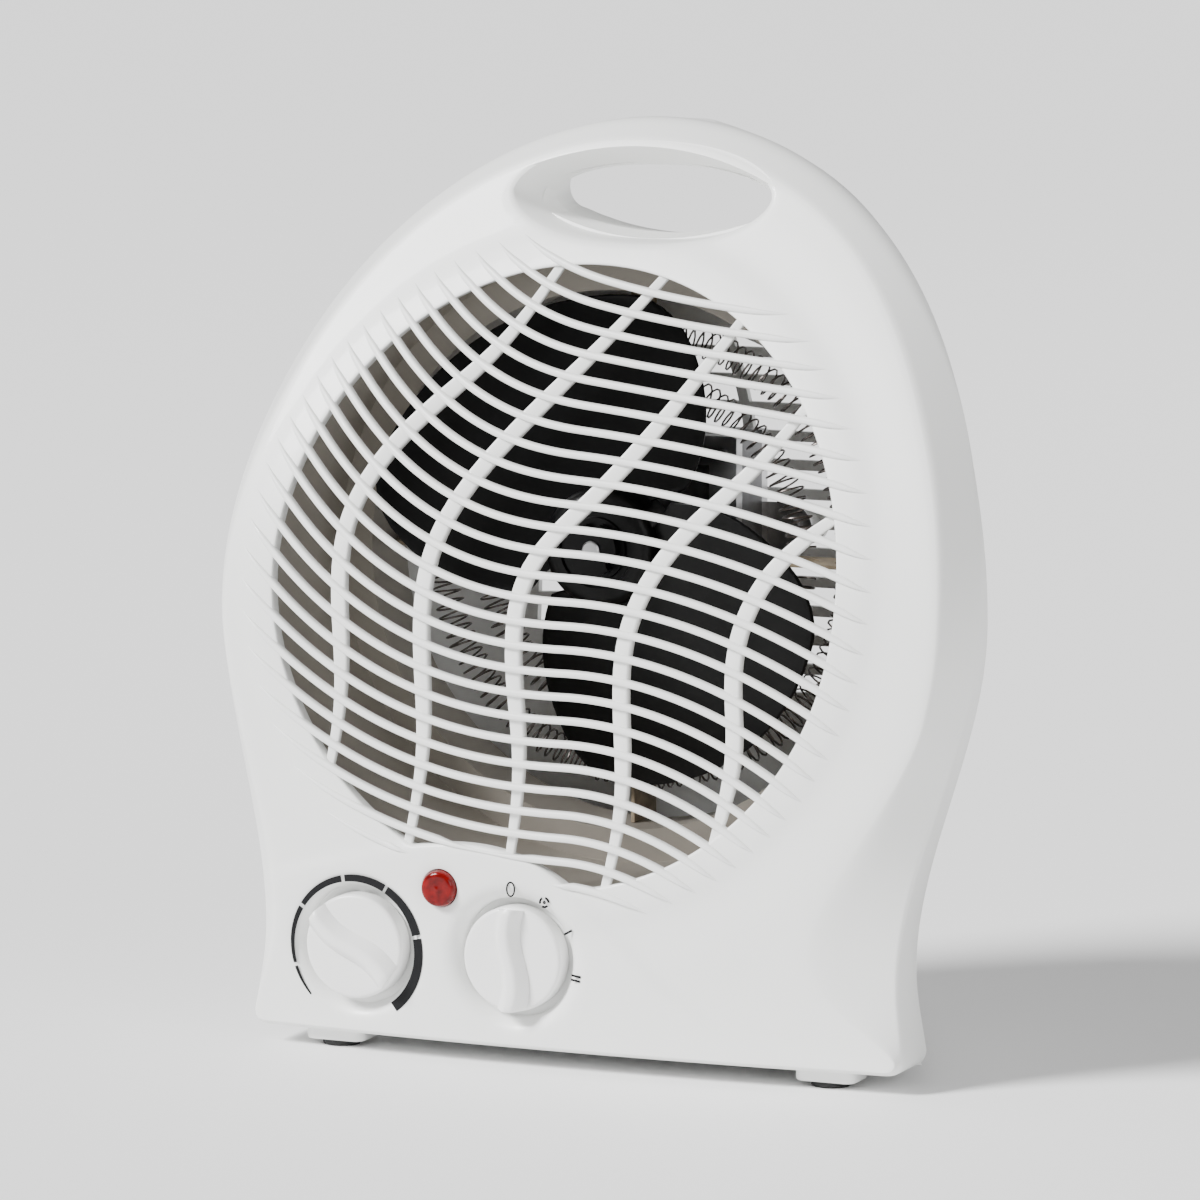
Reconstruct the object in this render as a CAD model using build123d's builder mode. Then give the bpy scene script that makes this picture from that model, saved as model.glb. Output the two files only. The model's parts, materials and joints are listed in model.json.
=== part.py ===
from build123d import *
import os
from math import sqrt

os.makedirs("parts", exist_ok=True)

# Fan convector heater: two moulded shells round an axial fan, its motor and a coil element.
# Frame: X to the right seen from the front, Y to the back, Z up, in millimetres.
# The origin is under the middle of the heater, on the surface that it stands on.

# overall sizes
half_width = 108.5
crown_height = 246.7
widest_height = 120.0
waist_height = 30.0
waist_half_width = 90.8
base_half_width = 93.6
foot_height = 5.0
depth = 115.0
knob_rise = 5.2
grip_height = 4.0
front_y = -depth / 2 + knob_rise + grip_height
back_y = depth / 2

# the front face leans back: how far each height lies behind the front datum
face_lean = ((-3.0, 0.0), (-5.0, 40.0), (-4.0, 85.0), (-1.5, 122.0), (10.5, 160.0),
             (25.0, 190.0), (43.5, 223.0), (53.5, 243.0))
bow_radius = 900.0
bow_angle = 10.0
wall = 2.2
rim_chamfer_width = 6.5
rim_chamfer_depth = 11.0
rim_depth = 19.0
rim_top_depth = 12.6
shell_gap = 0.05

# handle window
handle_x = 1.8
handle_z = 227.4
handle_half_width = 36.5
handle_half_height = 12.4
waist_shrink = 4.5
handle_front = 44.0
handle_waist = 61.0
handle_back = 76.0

# grille in the front shell
grille_x = -6.5
grille_z = 129.0
grille_r = 80.5
rib_width = 1.9
rib_pitch = 6.2
rib_top = 205.2
rib_count = 26
rib_proud = 1.0
rib_depth = 3.0
rib_run_out = 8.0
stay_width = 4.6
stay_depth = 5.0
stay_sink = 0.5

# control panel
knob_x = (-60.0, -14.0)
knob_z = 29.5
knob_rest_turn = (-52.0, 0.0)
knob_r = 15.2
knob_gap = 0.9
knob_clearance = 0.5
grip_width = 6.4
recess_y = front_y + 1.0
control_y = recess_y + 3.0
spindle_r = 3.0
running_gap = 0.04
spindle_reach = 9.0
control_size = 26.0
control_depth = 15.0
lens_x = -34.8
lens_z = 47.0
lens_r = 5.0
lens_stem_r = 3.8
lamp_length = 14.0

# fan, element and motor, in order from the front
fan_x = grille_x
fan_z = 134.0
fan_r = 66.0
fan_y = front_y + 42.0
blade_thickness = 1.3
blade_pitch = 15.0
blade_tip_sweep = 90.0
blade_root_sweep = 150.0
blade_places = (-125.0, 55.0)
hub_r = 16.0
hub_length = 18.0
shaft_r = 2.5
clip_r = 7.0
clip_length = 3.0
duct_r = 81.5
throat_r = 72.5
duct_setback = 3.2
sheet = 0.8
throat_y = front_y + 48.0
duct_end = front_y + 70.0
board_inner_r = 32.0
board_width = 15.0
board_thickness = 1.0
board_y = front_y + 58.0
coil_radii = (46.0, 60.0)
coil_r = 4.2
board_hole_gap = 0.3
core_width = 50.0
core_height = 54.0
core_length = 14.0
core_y = front_y + 74.0
rotor_r = 12.5
air_gap = 0.4
winding_width = 30.0
bearing_plate = 4.0
bush_r = 4.5
mount_y = core_y + core_length + bearing_plate
mount_thickness = 1.2
mount_span = 76.0
mount_width = 14.0

# fasteners
screw_r = 1.5
screw_gap = 0.05
screw_head_r = 3.0
screw_head = 2.0
screw_places = ((-80.0, 24.0), (80.0, 24.0), (-70.0, 192.0), (70.0, 192.0))
screw_length = 14.0
post_r = 4.8
well_floor = 3.0

# feet
pad_height = 1.6
pad_r = 5.2
pad_peg_r = 2.0
pad_peg = 2.2
foot_width = 17.0
foot_depth = 12.0
front_foot_x = 70.5
front_foot_y = front_y + 10.0
back_foot_x = 40.0
back_foot_y = back_y - 16.0

# mains inlet
inlet_x = 9.0
inlet_z = 26.0
inlet_r = 5.5
inlet_bore_r = 3.7
inlet_flange_r = 7.5

fan_axis = Axis((fan_x, 0, fan_z), (0, 1, 0))
bow_axis = Axis((0, bow_radius, 0), (0, 0, 1))
upper_height = crown_height - widest_height


def across(y, x=0.0, z=0.0):
    """A vertical sketch plane facing the front, its local axes along X and Z."""
    return Plane((x, y, z), x_dir=(1, 0, 0), z_dir=(0, -1, 0))


def rim_at(z):
    """How deep the rim is at a height: less round the crown than below."""
    share = min(1.0, max(0.0, (z - widest_height) / 45))
    return rim_depth + (rim_top_depth - rim_depth) * share


def outline_half_width(z, inset=0.0):
    """Half the housing's width at a height, with the wall taken off."""
    if z >= widest_height:
        share = (z - widest_height) / (upper_height - inset)
        return (half_width - inset) * sqrt(max(0.0, 1 - share * share))
    if z >= waist_height:
        s = (z - waist_height) / (widest_height - waist_height)
        return waist_half_width + (half_width - waist_half_width) * s * s * (3 - 2 * s) - inset
    s = (waist_height - z) / (waist_height - foot_height)
    return waist_half_width + (base_half_width - waist_half_width) * s * s * (2.25 - 1.25 * s) - inset


def face_y(x, z, setback=0.0):
    """Depth of the bowed front face at a place on it."""
    lean = face_curve @ 0
    for step in range(25):
        middle = (step + 0.5) / 25
        if abs((face_curve @ middle).Z - z) < abs(lean.Z - z):
            lean = face_curve @ middle
    reach = bow_radius - lean.Y
    return bow_radius - sqrt(reach * reach - x * x) + setback


with BuildLine(Plane.YZ) as face_line:
    face_curve = Spline(*[(front_y + y, foot_height + z) for y, z in face_lean])


def behind_face(setback, along_rim=False):
    """Everything behind the front face moved back by a distance, on top of the rim's depth if asked."""
    below = foot_height - 20
    above = crown_height + 20
    rear = back_y + 60
    edge = [(front_y + y + setback + (rim_at(foot_height + z) if along_rim else 0), foot_height + z)
            for y, z in face_lean]
    first, last = edge[0], edge[-1]
    with BuildPart() as space:
        with BuildSketch(Plane.YZ):
            with BuildLine():
                Spline(*edge)
                Polyline(last, (last[0] + 10, above), (rear, above), (rear, below),
                         (first[0], below), first)
            make_face()
        revolve(axis=bow_axis, revolution_arc=2 * bow_angle)
    return space.part.rotate(bow_axis, -bow_angle)


def outline_prism(inset=0.0):
    """The housing's front outline, carried straight back."""
    wide = half_width - inset
    waist = waist_half_width - inset
    base = base_half_width - inset
    bottom = foot_height + inset
    lower = (widest_height - waist_height) / 3
    with BuildPart() as prism:
        with BuildSketch(across(-depth)):
            with BuildLine():
                EllipticalCenterArc((0, widest_height), wide, upper_height - inset, 0, arc_size=90)
                Bezier((wide, widest_height), (wide, widest_height - lower),
                       (waist, waist_height + lower), (waist, waist_height))
                Bezier((waist, waist_height), (waist, waist_height - 8),
                       (waist + 0.75 * (base - waist), bottom + 8), (base, bottom))
                Polyline((base, bottom), (0, bottom), (0, crown_height - inset))
            make_face()
            mirror(about=Plane.YZ)
        extrude(amount=-2.5 * depth)
    return prism.part


def back_reach(z):
    """Depth of the rear cover's back at a height: upright, then hollowed below the handle."""
    low, high = 145.0, 214.0
    handle_rear = front_y + handle_back + 1.5
    if z <= low:
        return back_y
    s = min(1.0, (z - low) / (high - low))
    return back_y + (handle_rear - back_y) * s * s * (3 - 2 * s)


def cover_block(inset, heights):
    """The rear cover's tapered form, lofted from level sections."""
    with BuildPart() as block:
        for z in heights:
            half = outline_half_width(z, inset) - shell_gap
            start = face_y(0, z, rim_at(z)) - 6
            rear = back_reach(z) - inset
            run = rear - start - 6
            corner = max(half - 0.45 * run, 0.3 * half)
            flat = max(corner - 0.3 * run, 0.15 * half)
            with BuildSketch(Plane.XY.offset(z)):
                with BuildLine():
                    Polyline((-half, start + 6), (-half, start), (half, start), (half, start + 6))
                    Bezier((half, start + 6), (half - 0.25 * run, start + 6 + 0.58 * run),
                           (corner, rear), (flat, rear))
                    Line((flat, rear), (-flat, rear))
                    Bezier((-flat, rear), (-corner, rear),
                           (-half + 0.25 * run, start + 6 + 0.58 * run), (-half, start + 6))
                make_face()
        loft()
    return block.part


def bevel_rim(body, base):
    """Chamfer the rim of a body's front face all round, except along its base."""
    face = body.faces().sort_by(Axis.Y)[0]
    rim = face.edges().filter_by(lambda e: e.bounding_box().max.Z > base + 1)
    chamfer(rim, length=rim_chamfer_width, length2=rim_chamfer_depth, reference=face)


def lens_sketch(y, centre_z, half_long, half_high):
    """A pointed oval window with rounded ends."""
    end = 0.42 * half_high
    with BuildSketch(across(y, handle_x)) as window:
        with BuildLine():
            ThreePointArc((-half_long + end, centre_z + 1.2 * end), (0, centre_z + half_high),
                          (half_long - end, centre_z + 1.2 * end))
            ThreePointArc((half_long - end, centre_z + 1.2 * end), (half_long, centre_z),
                          (half_long - end, centre_z - 1.2 * end))
            ThreePointArc((half_long - end, centre_z - 1.2 * end), (0, centre_z - half_high),
                          (-half_long + end, centre_z - 1.2 * end))
            ThreePointArc((-half_long + end, centre_z - 1.2 * end), (-half_long, centre_z),
                          (-half_long + end, centre_z + 1.2 * end))
        make_face()
    return window.sketch


def handle_window(grow=0.0):
    """The hand opening: flared at the front and the back, with a waist at the joint."""
    waist_long = handle_half_width - waist_shrink + grow
    waist_high = handle_half_height - 0.7 * waist_shrink + grow
    flare = 1.6
    front = handle_front - 14
    back = handle_back + 8
    long = handle_half_width + grow
    high = handle_half_height + grow
    with BuildPart() as window:
        loft(sections=[lens_sketch(front_y + front, handle_z + 1, long + flare, high + flare),
                       lens_sketch(front_y + handle_waist, handle_z - 2, waist_long, waist_high)])
        loft(sections=[lens_sketch(front_y + handle_waist, handle_z - 2, waist_long, waist_high),
                       lens_sketch(front_y + back, handle_z - 1, long, high)])
    return window.part


def rod(y0, y1, radius, x, z):
    """A round bar lying front to back."""
    with BuildPart() as bar:
        with BuildSketch(across(y0)):
            with Locations((x, z)):
                Circle(radius)
        extrude(amount=y0 - y1)
    return bar.part


def finish(piece, label):
    """Name a finished piece and write its file."""
    piece.part.label = label
    export_step(piece.part, f"parts/{label}.step", write_pcurves=False)
    print(label, round(piece.part.volume))


def panel_curve():
    """Upper edge of the control panel, from the left edge down to the base at the right."""
    return Spline((-112, 40), (-77, 49.5), (-42, 58), (3.6, 48.5), (30, 24), (84, 8), (112, 4))


def rib_height(x, middle):
    """Height of a wavy rib at a place across the grille, by its height on the middle line."""
    s = (middle - 120) / 80
    slope = (0.05 + 1.06 * s + 1.78 * s * s) / 16
    left = 19.0 + 12.2 * s + 2.4 * s * s
    right = 16.7 - 21.7 * s
    if x < 0:
        return middle - slope * x + left * (-x / 64) ** 2.38
    return middle - slope * x - right * (x / 64) ** 2


front_space = behind_face(0)
cavity_space = behind_face(wall)
joint_space = behind_face(0, along_rim=True)
window = handle_window()
tunnel = handle_window(wall)
cover_heights = (foot_height, 30, 60, 95, 130, 160, 185, 205, 222, 236, crown_height - 1.2)

# ribs of the grille, before they join the front shell
rib_reach = grille_r + rib_run_out
with BuildPart() as ribs:
    with BuildSketch(across(-depth)):
        for number in range(rib_count):
            middle = rib_top - number * rib_pitch
            stations = [grille_x + rib_reach * (k / 4) for k in range(-4, 5)]
            line = [(x, rib_height(x, middle)) for x in stations]
            with BuildLine():
                upper = Spline(*[(x, z + rib_width / 2) for x, z in line])
                lower = Spline(*[(x, z - rib_width / 2) for x, z in line])
                Line(upper @ 0, lower @ 0)
                Line(upper @ 1, lower @ 1)
            make_face()
        with Locations((grille_x, grille_z)):
            Circle(rib_reach, mode=Mode.INTERSECT)
        with BuildLine():
            edge = panel_curve()
            Polyline(edge @ 0, (-112, -20), (112, -20), edge @ 1)
        make_face(mode=Mode.SUBTRACT)
    extrude(amount=-2 * depth)
    add(behind_face(-rib_proud), mode=Mode.INTERSECT)
    add(behind_face(rib_depth), mode=Mode.SUBTRACT)

stay_paths = (
    ((-16, 211), (-30, 188), (-52, 166), (-66, 142), (-66, 112), (-66, 94), (-70, 72)),
    ((16, 211), (3, 194), (-22, 165.5), (-40, 136), (-42, 116), (-41, 86), (-46, 54)),
    ((42, 205), (29, 184), (4, 151), (-12, 131), (-15, 112), (-13, 84), (-16, 52)),
    ((64, 184), (49, 162), (27, 138), (17, 116), (16, 98), (16.5, 76), (11, 46)),
    ((80, 155), (57, 136), (48.5, 119), (47, 104), (47.5, 90), (44, 70), (40, 56)),
)
with BuildPart() as stays:
    with BuildSketch(across(-depth)):
        for path in stay_paths:
            with BuildLine():
                left_side = Spline(*[(x - 0.5 * stay_width, z) for x, z in path])
                right_side = Spline(*[(x + 0.5 * stay_width, z) for x, z in path])
                Line(left_side @ 0, right_side @ 0)
                Line(left_side @ 1, right_side @ 1)
            make_face()
        with Locations((grille_x, grille_z)):
            Circle(grille_r + 1, mode=Mode.INTERSECT)
    extrude(amount=-2 * depth)
    add(behind_face(stay_sink), mode=Mode.INTERSECT)
    add(behind_face(stay_depth), mode=Mode.SUBTRACT)

# openings that the front shell is cut with
with BuildPart() as grille_hole:
    with BuildSketch(across(-depth)):
        with Locations((grille_x, grille_z)):
            Circle(grille_r)
        with BuildLine():
            edge = panel_curve()
            Polyline(edge @ 0, (-112, -20), (112, -20), edge @ 1)
        make_face(mode=Mode.SUBTRACT)
    extrude(amount=-2 * depth)

with BuildPart() as hollow:
    add(outline_prism(wall) & cavity_space)
    bevel_rim(hollow, foot_height + wall)
cavity = hollow.part - tunnel
lens_y = face_y(lens_x, lens_z)
post_ends = [face_y(x, z, rim_at(z)) for x, z in screw_places]


def foot_block(x, y, joint):
    """A foot under the base, with a hole for its rubber pad's peg."""
    with BuildPart() as foot:
        with BuildSketch(Plane.XY.offset(pad_height)):
            with Locations((x, y)):
                RectangleRounded(foot_width, foot_depth, 3)
        extrude(amount=foot_height - pad_height + joint)
        with Locations((x, y, pad_height + pad_peg / 2)):
            Cylinder(pad_peg_r, pad_peg, mode=Mode.SUBTRACT)
    return foot.part


with BuildPart() as front_shell:
    add(outline_prism() & front_space)
    bevel_rim(front_shell, foot_height)
    add(cavity, mode=Mode.SUBTRACT)
    # thicker panel round the controls, and posts for the housing screws
    for x in knob_x:
        add(rod(front_y - 12, control_y, knob_r + knob_gap + wall, x, knob_z) & front_space)
    for (x, z), end in zip(screw_places, post_ends):
        add(rod(front_y - 12, end + 1, post_r, x, z) & cavity_space)
    add(joint_space, mode=Mode.SUBTRACT)
    add(window, mode=Mode.SUBTRACT)
    add(grille_hole.part, mode=Mode.SUBTRACT)
    add(ribs.part)
    add(stays.part)
    for x in knob_x:
        add(rod(front_y - 12, recess_y, knob_r + knob_gap, x, knob_z), mode=Mode.SUBTRACT)
        add(rod(front_y, control_y + 1, spindle_r + running_gap, x, knob_z), mode=Mode.SUBTRACT)
    for (x, z), end in zip(screw_places, post_ends):
        add(rod(end - screw_length + well_floor, end + 2, screw_r + screw_gap, x, z),
            mode=Mode.SUBTRACT)
    add(rod(lens_y - 6, lens_y + 0.5, lens_r + screw_gap, lens_x, lens_z), mode=Mode.SUBTRACT)
    add(rod(lens_y, lens_y + 12, lens_stem_r + screw_gap, lens_x, lens_z), mode=Mode.SUBTRACT)
    for side in (-1, 1):
        add(foot_block(side * front_foot_x, front_foot_y, 0.5))
finish(front_shell, "front_shell")

# rear shell: tapers in behind the rim, with an air inlet grille and wells for its screws
outer_cover = (cover_block(0, cover_heights) & outline_prism(shell_gap)
               & behind_face(shell_gap, along_rim=True))
inner_heights = (foot_height + wall, *cover_heights[1:-1], cover_heights[-1] - wall)
inner_cover = (cover_block(wall, inner_heights) & outline_prism(wall)) - tunnel
slot_pitch = 8.0
slot_height = 5.2
slot_rows = 14
inlet_grille_r = 56.0
mount_posts = [(fan_x + side * (mount_span / 2 - 6), fan_z) for side in (-1, 1)]

with BuildPart() as rear_shell:
    add(outer_cover - inner_cover)
    for (x, z), end in zip(screw_places, post_ends):
        add(rod(end + shell_gap, back_y + 5, post_r + 1.2, x, z) & outer_cover)
    for x, z in mount_posts:
        add(rod(mount_y + mount_thickness, back_y + 5, 4, x, z) & outer_cover)
    add(window, mode=Mode.SUBTRACT)
    with BuildSketch(across(back_y + 5)):
        with Locations((fan_x, fan_z)):
            with GridLocations(0, slot_pitch, 1, slot_rows):
                SlotOverall(2 * inlet_grille_r, slot_height)
            Circle(inlet_grille_r, mode=Mode.INTERSECT)
            with GridLocations(slot_pitch * 4, 0, 4, 1):
                Rectangle(3, 3 * inlet_grille_r, mode=Mode.SUBTRACT)
            with Locations(*[(x - fan_x, 0) for x, z in mount_posts]):
                Circle(5.5, mode=Mode.SUBTRACT)
    extrude(amount=30, mode=Mode.SUBTRACT)
    for (x, z), end in zip(screw_places, post_ends):
        add(rod(end + well_floor, back_y + 5, screw_head_r + 0.9, x, z), mode=Mode.SUBTRACT)
        add(rod(end - 2, back_y, screw_r + screw_gap, x, z), mode=Mode.SUBTRACT)
    for x, z in mount_posts:
        add(rod(mount_y, back_y - 4, screw_r + screw_gap, x, z), mode=Mode.SUBTRACT)
    add(rod(back_y - 10, back_y + 5, inlet_r, inlet_x, inlet_z), mode=Mode.SUBTRACT)
    for side in (-1, 1):
        add(foot_block(side * back_foot_x, back_foot_y, 0.5))
finish(rear_shell, "rear_shell")

# air duct: one sheet pressing, wide behind the grille and stepped in round the fan
duct_outline = (
    (duct_r, front_y - 5), (duct_r, throat_y), (throat_r, throat_y), (throat_r, duct_end),
    (throat_r + sheet, duct_end), (throat_r + sheet, throat_y + sheet),
    (duct_r + sheet, throat_y + sheet), (duct_r + sheet, front_y - 5),
)
with BuildPart() as air_duct:
    with BuildSketch(Plane.XY.offset(grille_z)):
        with BuildLine():
            Polyline(*[(grille_x + r, y) for r, y in duct_outline], close=True)
        make_face()
    revolve(axis=Axis((grille_x, 0, grille_z), (0, 1, 0)), revolution_arc=360)
    add(behind_face(duct_setback), mode=Mode.INTERSECT)
    for x in knob_x:
        add(rod(front_y - 20, control_y + 0.5, knob_r + knob_gap + wall + 0.4, x, knob_z),
            mode=Mode.SUBTRACT)
finish(air_duct, "air_duct")

# heating element: mica boards on the axes with a wire coil through each row of holes
for number in range(4):
    angle = 90 * number
    board_length = throat_r - 0.2 - board_inner_r
    with BuildPart() as board:
        with BuildSketch(Plane.XY.offset(grille_z - board_thickness / 2)):
            with Locations((grille_x + board_inner_r + board_length / 2, board_y + board_width / 2)):
                Rectangle(board_length, board_width)
            with Locations(*[(grille_x + r, board_y + board_width / 2) for r in coil_radii]):
                Circle(coil_r + board_hole_gap, mode=Mode.SUBTRACT)
        extrude(amount=board_thickness)
    board.part = board.part.rotate(Axis((grille_x, 0, grille_z), (0, 1, 0)), angle)
    finish(board, f"mica_board_{number + 1}")

for name, r in zip(("inner_heating_coil", "outer_heating_coil"), coil_radii):
    with BuildPart() as coil:
        with BuildSketch(Plane.XY.offset(grille_z)):
            with Locations((grille_x + r, board_y + board_width / 2)):
                Circle(coil_r)
        revolve(axis=Axis((grille_x, 0, grille_z), (0, 1, 0)), revolution_arc=350)
    finish(coil, name)

# safety parts on the two sides of the upper board
cutout_width = 14.0
cutout_place = (grille_x + board_thickness / 2 + cutout_width / 2, grille_z + board_inner_r + 1.5)
fuse_length = 20.0
fuse_x = grille_x - board_thickness / 2 - fuse_length / 2
with BuildPart() as thermal_cutout:
    with BuildSketch(across(board_y)):
        with Locations(cutout_place):
            Rectangle(cutout_width, 9)
    extrude(amount=-6)
    with BuildSketch(across(board_y + 6)):
        with Locations(cutout_place):
            Circle(3.5)
    extrude(amount=-1.5)
finish(thermal_cutout, "thermal_cutout")
with BuildPart() as thermal_fuse:
    with Locations(Location((fuse_x, board_y + 4, grille_z + board_inner_r + 2), (0, 90, 0))):
        Cylinder(2, 12)
        Cylinder(0.5, fuse_length)
finish(thermal_fuse, "thermal_fuse")

# fan: hub with pitched blades, clipped on the motor shaft
with BuildPart() as fan_impeller:
    with BuildSketch(across(fan_y - hub_length / 2)):
        with Locations((fan_x, fan_z)):
            Circle(hub_r)
    extrude(amount=-hub_length)
    fillet(fan_impeller.faces().sort_by(Axis.Y)[0].edges(), 4)
    for turn in blade_places:
        with BuildPart(mode=Mode.PRIVATE) as blade:
            with BuildSketch(across(-blade_thickness / 2)):
                with BuildLine():
                    tip = CenterArc((0, 0), fan_r, -blade_tip_sweep / 2, blade_tip_sweep)
                    root = CenterArc((0, 0), hub_r - 2, -blade_root_sweep / 2, blade_root_sweep)
                    Line(tip @ 0, root @ 0)
                    Line(tip @ 1, root @ 1)
                make_face()
                fillet(vertices().filter_by(lambda v: v.X > hub_r + 2), 7)
            extrude(amount=-blade_thickness)
        turned = blade.part.rotate(Axis.X, blade_pitch).rotate(Axis.Y, turn)
        add(Pos(fan_x, fan_y, fan_z) * turned)
    with BuildSketch(across(fan_y - hub_length)):
        with Locations((fan_x, fan_z)):
            Circle(shaft_r)
    extrude(amount=-2 * hub_length, mode=Mode.SUBTRACT)
finish(fan_impeller, "fan_impeller")

clip_y = fan_y - hub_length / 2
with BuildPart() as fan_clip:
    with BuildSketch(across(clip_y)):
        with Locations((fan_x, fan_z)):
            Circle(clip_r)
            Circle(shaft_r, mode=Mode.SUBTRACT)
            with PolarLocations(clip_r, 3, start_angle=90):
                Circle(2, mode=Mode.SUBTRACT)
    extrude(amount=clip_length)
finish(fan_clip, "fan_clip")

bearing_y = core_y - bearing_plate
with BuildPart() as motor_shaft:
    add(rod(clip_y - clip_length - 1, mount_y + 2, shaft_r, fan_x, fan_z))
    chamfer(motor_shaft.edges().filter_by(GeomType.CIRCLE), 0.4)
finish(motor_shaft, "motor_shaft")
with BuildPart() as motor_rotor:
    add(rod(core_y + 0.5, core_y + core_length - 0.5, rotor_r, fan_x, fan_z))
    add(rod(core_y, core_y + core_length, shaft_r, fan_x, fan_z), mode=Mode.SUBTRACT)
finish(motor_rotor, "motor_rotor")

# motor: laminated core, winding on its lower leg, a bearing plate and bush at each end
window_low = fan_z - core_height / 2 + 8
with BuildPart() as motor_core:
    with BuildSketch(across(core_y)):
        with Locations((fan_x, fan_z)):
            RectangleRounded(core_width, core_height, 2)
            Circle(rotor_r + air_gap, mode=Mode.SUBTRACT)
        with Locations((fan_x, window_low + 2.5)):
            Rectangle(winding_width, 5, mode=Mode.SUBTRACT)
        with Locations(*[(fan_x + side * 21, fan_z + lift) for side in (-1, 1) for lift in (-22, 22)]):
            Circle(screw_r + screw_gap, mode=Mode.SUBTRACT)
    extrude(amount=-core_length)
finish(motor_core, "motor_core")
with BuildPart() as motor_winding:
    with BuildSketch(across(core_y - 5)):
        with Locations((fan_x, window_low - 4)):
            Rectangle(winding_width - 2, 16)
    extrude(amount=-core_length - 9)
    with BuildSketch(across(core_y - 6)):
        with Locations((fan_x, window_low - 4)):
            Rectangle(winding_width, 8.2)
    extrude(amount=-core_length - 12, mode=Mode.SUBTRACT)
finish(motor_winding, "motor_winding")
for name, plate_y in (("front", bearing_y), ("rear", core_y + core_length)):
    with BuildPart() as bracket:
        with BuildSketch(across(plate_y)):
            with Locations((fan_x, fan_z)):
                RectangleRounded(core_width, 12, 3)
                Circle(10)
                with Locations((0, 9)):
                    Rectangle(core_width, 36)
                with Locations((0, 12)):
                    Rectangle(core_width - 16, 14, mode=Mode.SUBTRACT)
                Circle(bush_r, mode=Mode.SUBTRACT)
            with Locations(*[(fan_x + side * 21, fan_z + 22) for side in (-1, 1)]):
                Circle(screw_r + screw_gap, mode=Mode.SUBTRACT)
        extrude(amount=-bearing_plate)
    finish(bracket, f"motor_{name}_bracket")
    with BuildPart() as bush:
        add(rod(plate_y, plate_y + bearing_plate, bush_r, fan_x, fan_z))
        add(rod(plate_y, plate_y + bearing_plate, shaft_r + running_gap, fan_x, fan_z),
            mode=Mode.SUBTRACT)
    finish(bush, f"motor_{name}_bush")


def screw(x, z, head_y, length):
    """A pan-head screw driven in from the back."""
    with BuildPart() as fixing:
        add(rod(head_y - length, head_y, screw_r, x, z))
        add(rod(head_y, head_y + screw_head, screw_head_r, x, z))
        fillet(fixing.faces().sort_by(Axis.Y)[-1].edges(), 0.9)
        with BuildSketch(across(head_y + screw_head + 0.1)):
            with Locations((x, z)):
                Rectangle(3.2, 0.8)
                Rectangle(0.8, 3.2)
        extrude(amount=1.1, mode=Mode.SUBTRACT)
    return fixing.part


bracket_back = core_y + core_length + bearing_plate
with BuildPart() as motor_screws:
    for side in (-1, 1):
        add(screw(fan_x + side * 21, fan_z + 22, bracket_back, core_length + 2 * bearing_plate + 1))
finish(motor_screws, "motor_screws")

with BuildPart() as motor_mount:
    with BuildSketch(across(mount_y)):
        with Locations((fan_x, fan_z)):
            SlotOverall(mount_span, mount_width)
            Circle(shaft_r + 1.5, mode=Mode.SUBTRACT)
            with Locations((mount_span / 2 - 6, 0), (6 - mount_span / 2, 0)):
                Circle(screw_r + screw_gap, mode=Mode.SUBTRACT)
    extrude(amount=-mount_thickness)
finish(motor_mount, "motor_mount")
with BuildPart() as mount_screws:
    for x, z in mount_posts:
        with BuildPart(mode=Mode.PRIVATE) as fixing:
            add(rod(mount_y, mount_y + 8, screw_r, x, z))
            add(rod(mount_y - screw_head, mount_y, screw_head_r, x, z))
        add(fixing.part)
finish(mount_screws, "mount_screws")

with BuildPart() as housing_screws:
    for (x, z), end in zip(screw_places, post_ends):
        add(screw(x, z, end + well_floor, screw_length - 1))
finish(housing_screws, "housing_screws")

# controls: a body behind the panel, a spindle through it and a knob in its dished recess
knob_face = front_y - knob_rise
names = (("thermostat_knob", "thermostat_spindle", "thermostat_body"),
         ("selector_knob", "selector_spindle", "selector_switch_body"))
grip_swing = 1.2
grip_reach = knob_r - 0.9
half_grip = grip_width / 2
for x, rest_turn, (knob_name, spindle_name, body_name) in zip(knob_x, knob_rest_turn, names):
    socket_y = knob_face + 2
    with BuildPart() as knob:
        add(rod(knob_face, recess_y - knob_clearance, knob_r, x, knob_z))
        with BuildSketch(across(knob_face, x, knob_z)):
            with BuildLine():
                left = Spline((-half_grip, grip_reach), (-half_grip - grip_swing, grip_reach / 2),
                              (-half_grip, 0), (-half_grip + grip_swing, -grip_reach / 2),
                              (-half_grip, -grip_reach))
                right = Spline((half_grip, grip_reach), (half_grip - grip_swing, grip_reach / 2),
                               (half_grip, 0), (half_grip + grip_swing, -grip_reach / 2),
                               (half_grip, -grip_reach))
                Line(left @ 0, right @ 0)
                Line(left @ 1, right @ 1)
            make_face()
        extrude(amount=grip_height)
        chamfer(knob.faces().sort_by(Axis.Y)[0].edges(), 0.8)
        add(rod(socket_y, recess_y + 1, spindle_r, x, knob_z), mode=Mode.SUBTRACT)
    knob.part = knob.part.rotate(Axis((x, 0, knob_z), (0, 1, 0)), rest_turn)
    finish(knob, knob_name)
    with BuildPart() as spindle:
        add(rod(socket_y, control_y + spindle_reach, spindle_r, x, knob_z))
    finish(spindle, spindle_name)
    with BuildPart() as switch:
        with BuildSketch(across(control_y)):
            with Locations((x, knob_z - 1)):
                RectangleRounded(control_size, control_size, 3)
        extrude(amount=-control_depth)
        add(rod(control_y - 1, control_y + spindle_reach + 1, spindle_r + running_gap, x, knob_z),
            mode=Mode.SUBTRACT)
        with BuildSketch(across(control_y + control_depth)):
            with Locations((x, knob_z - 1)):
                with GridLocations(14, 12, 2, 2):
                    Rectangle(0.8, 6)
        extrude(amount=-7)
    finish(switch, body_name)

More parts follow.
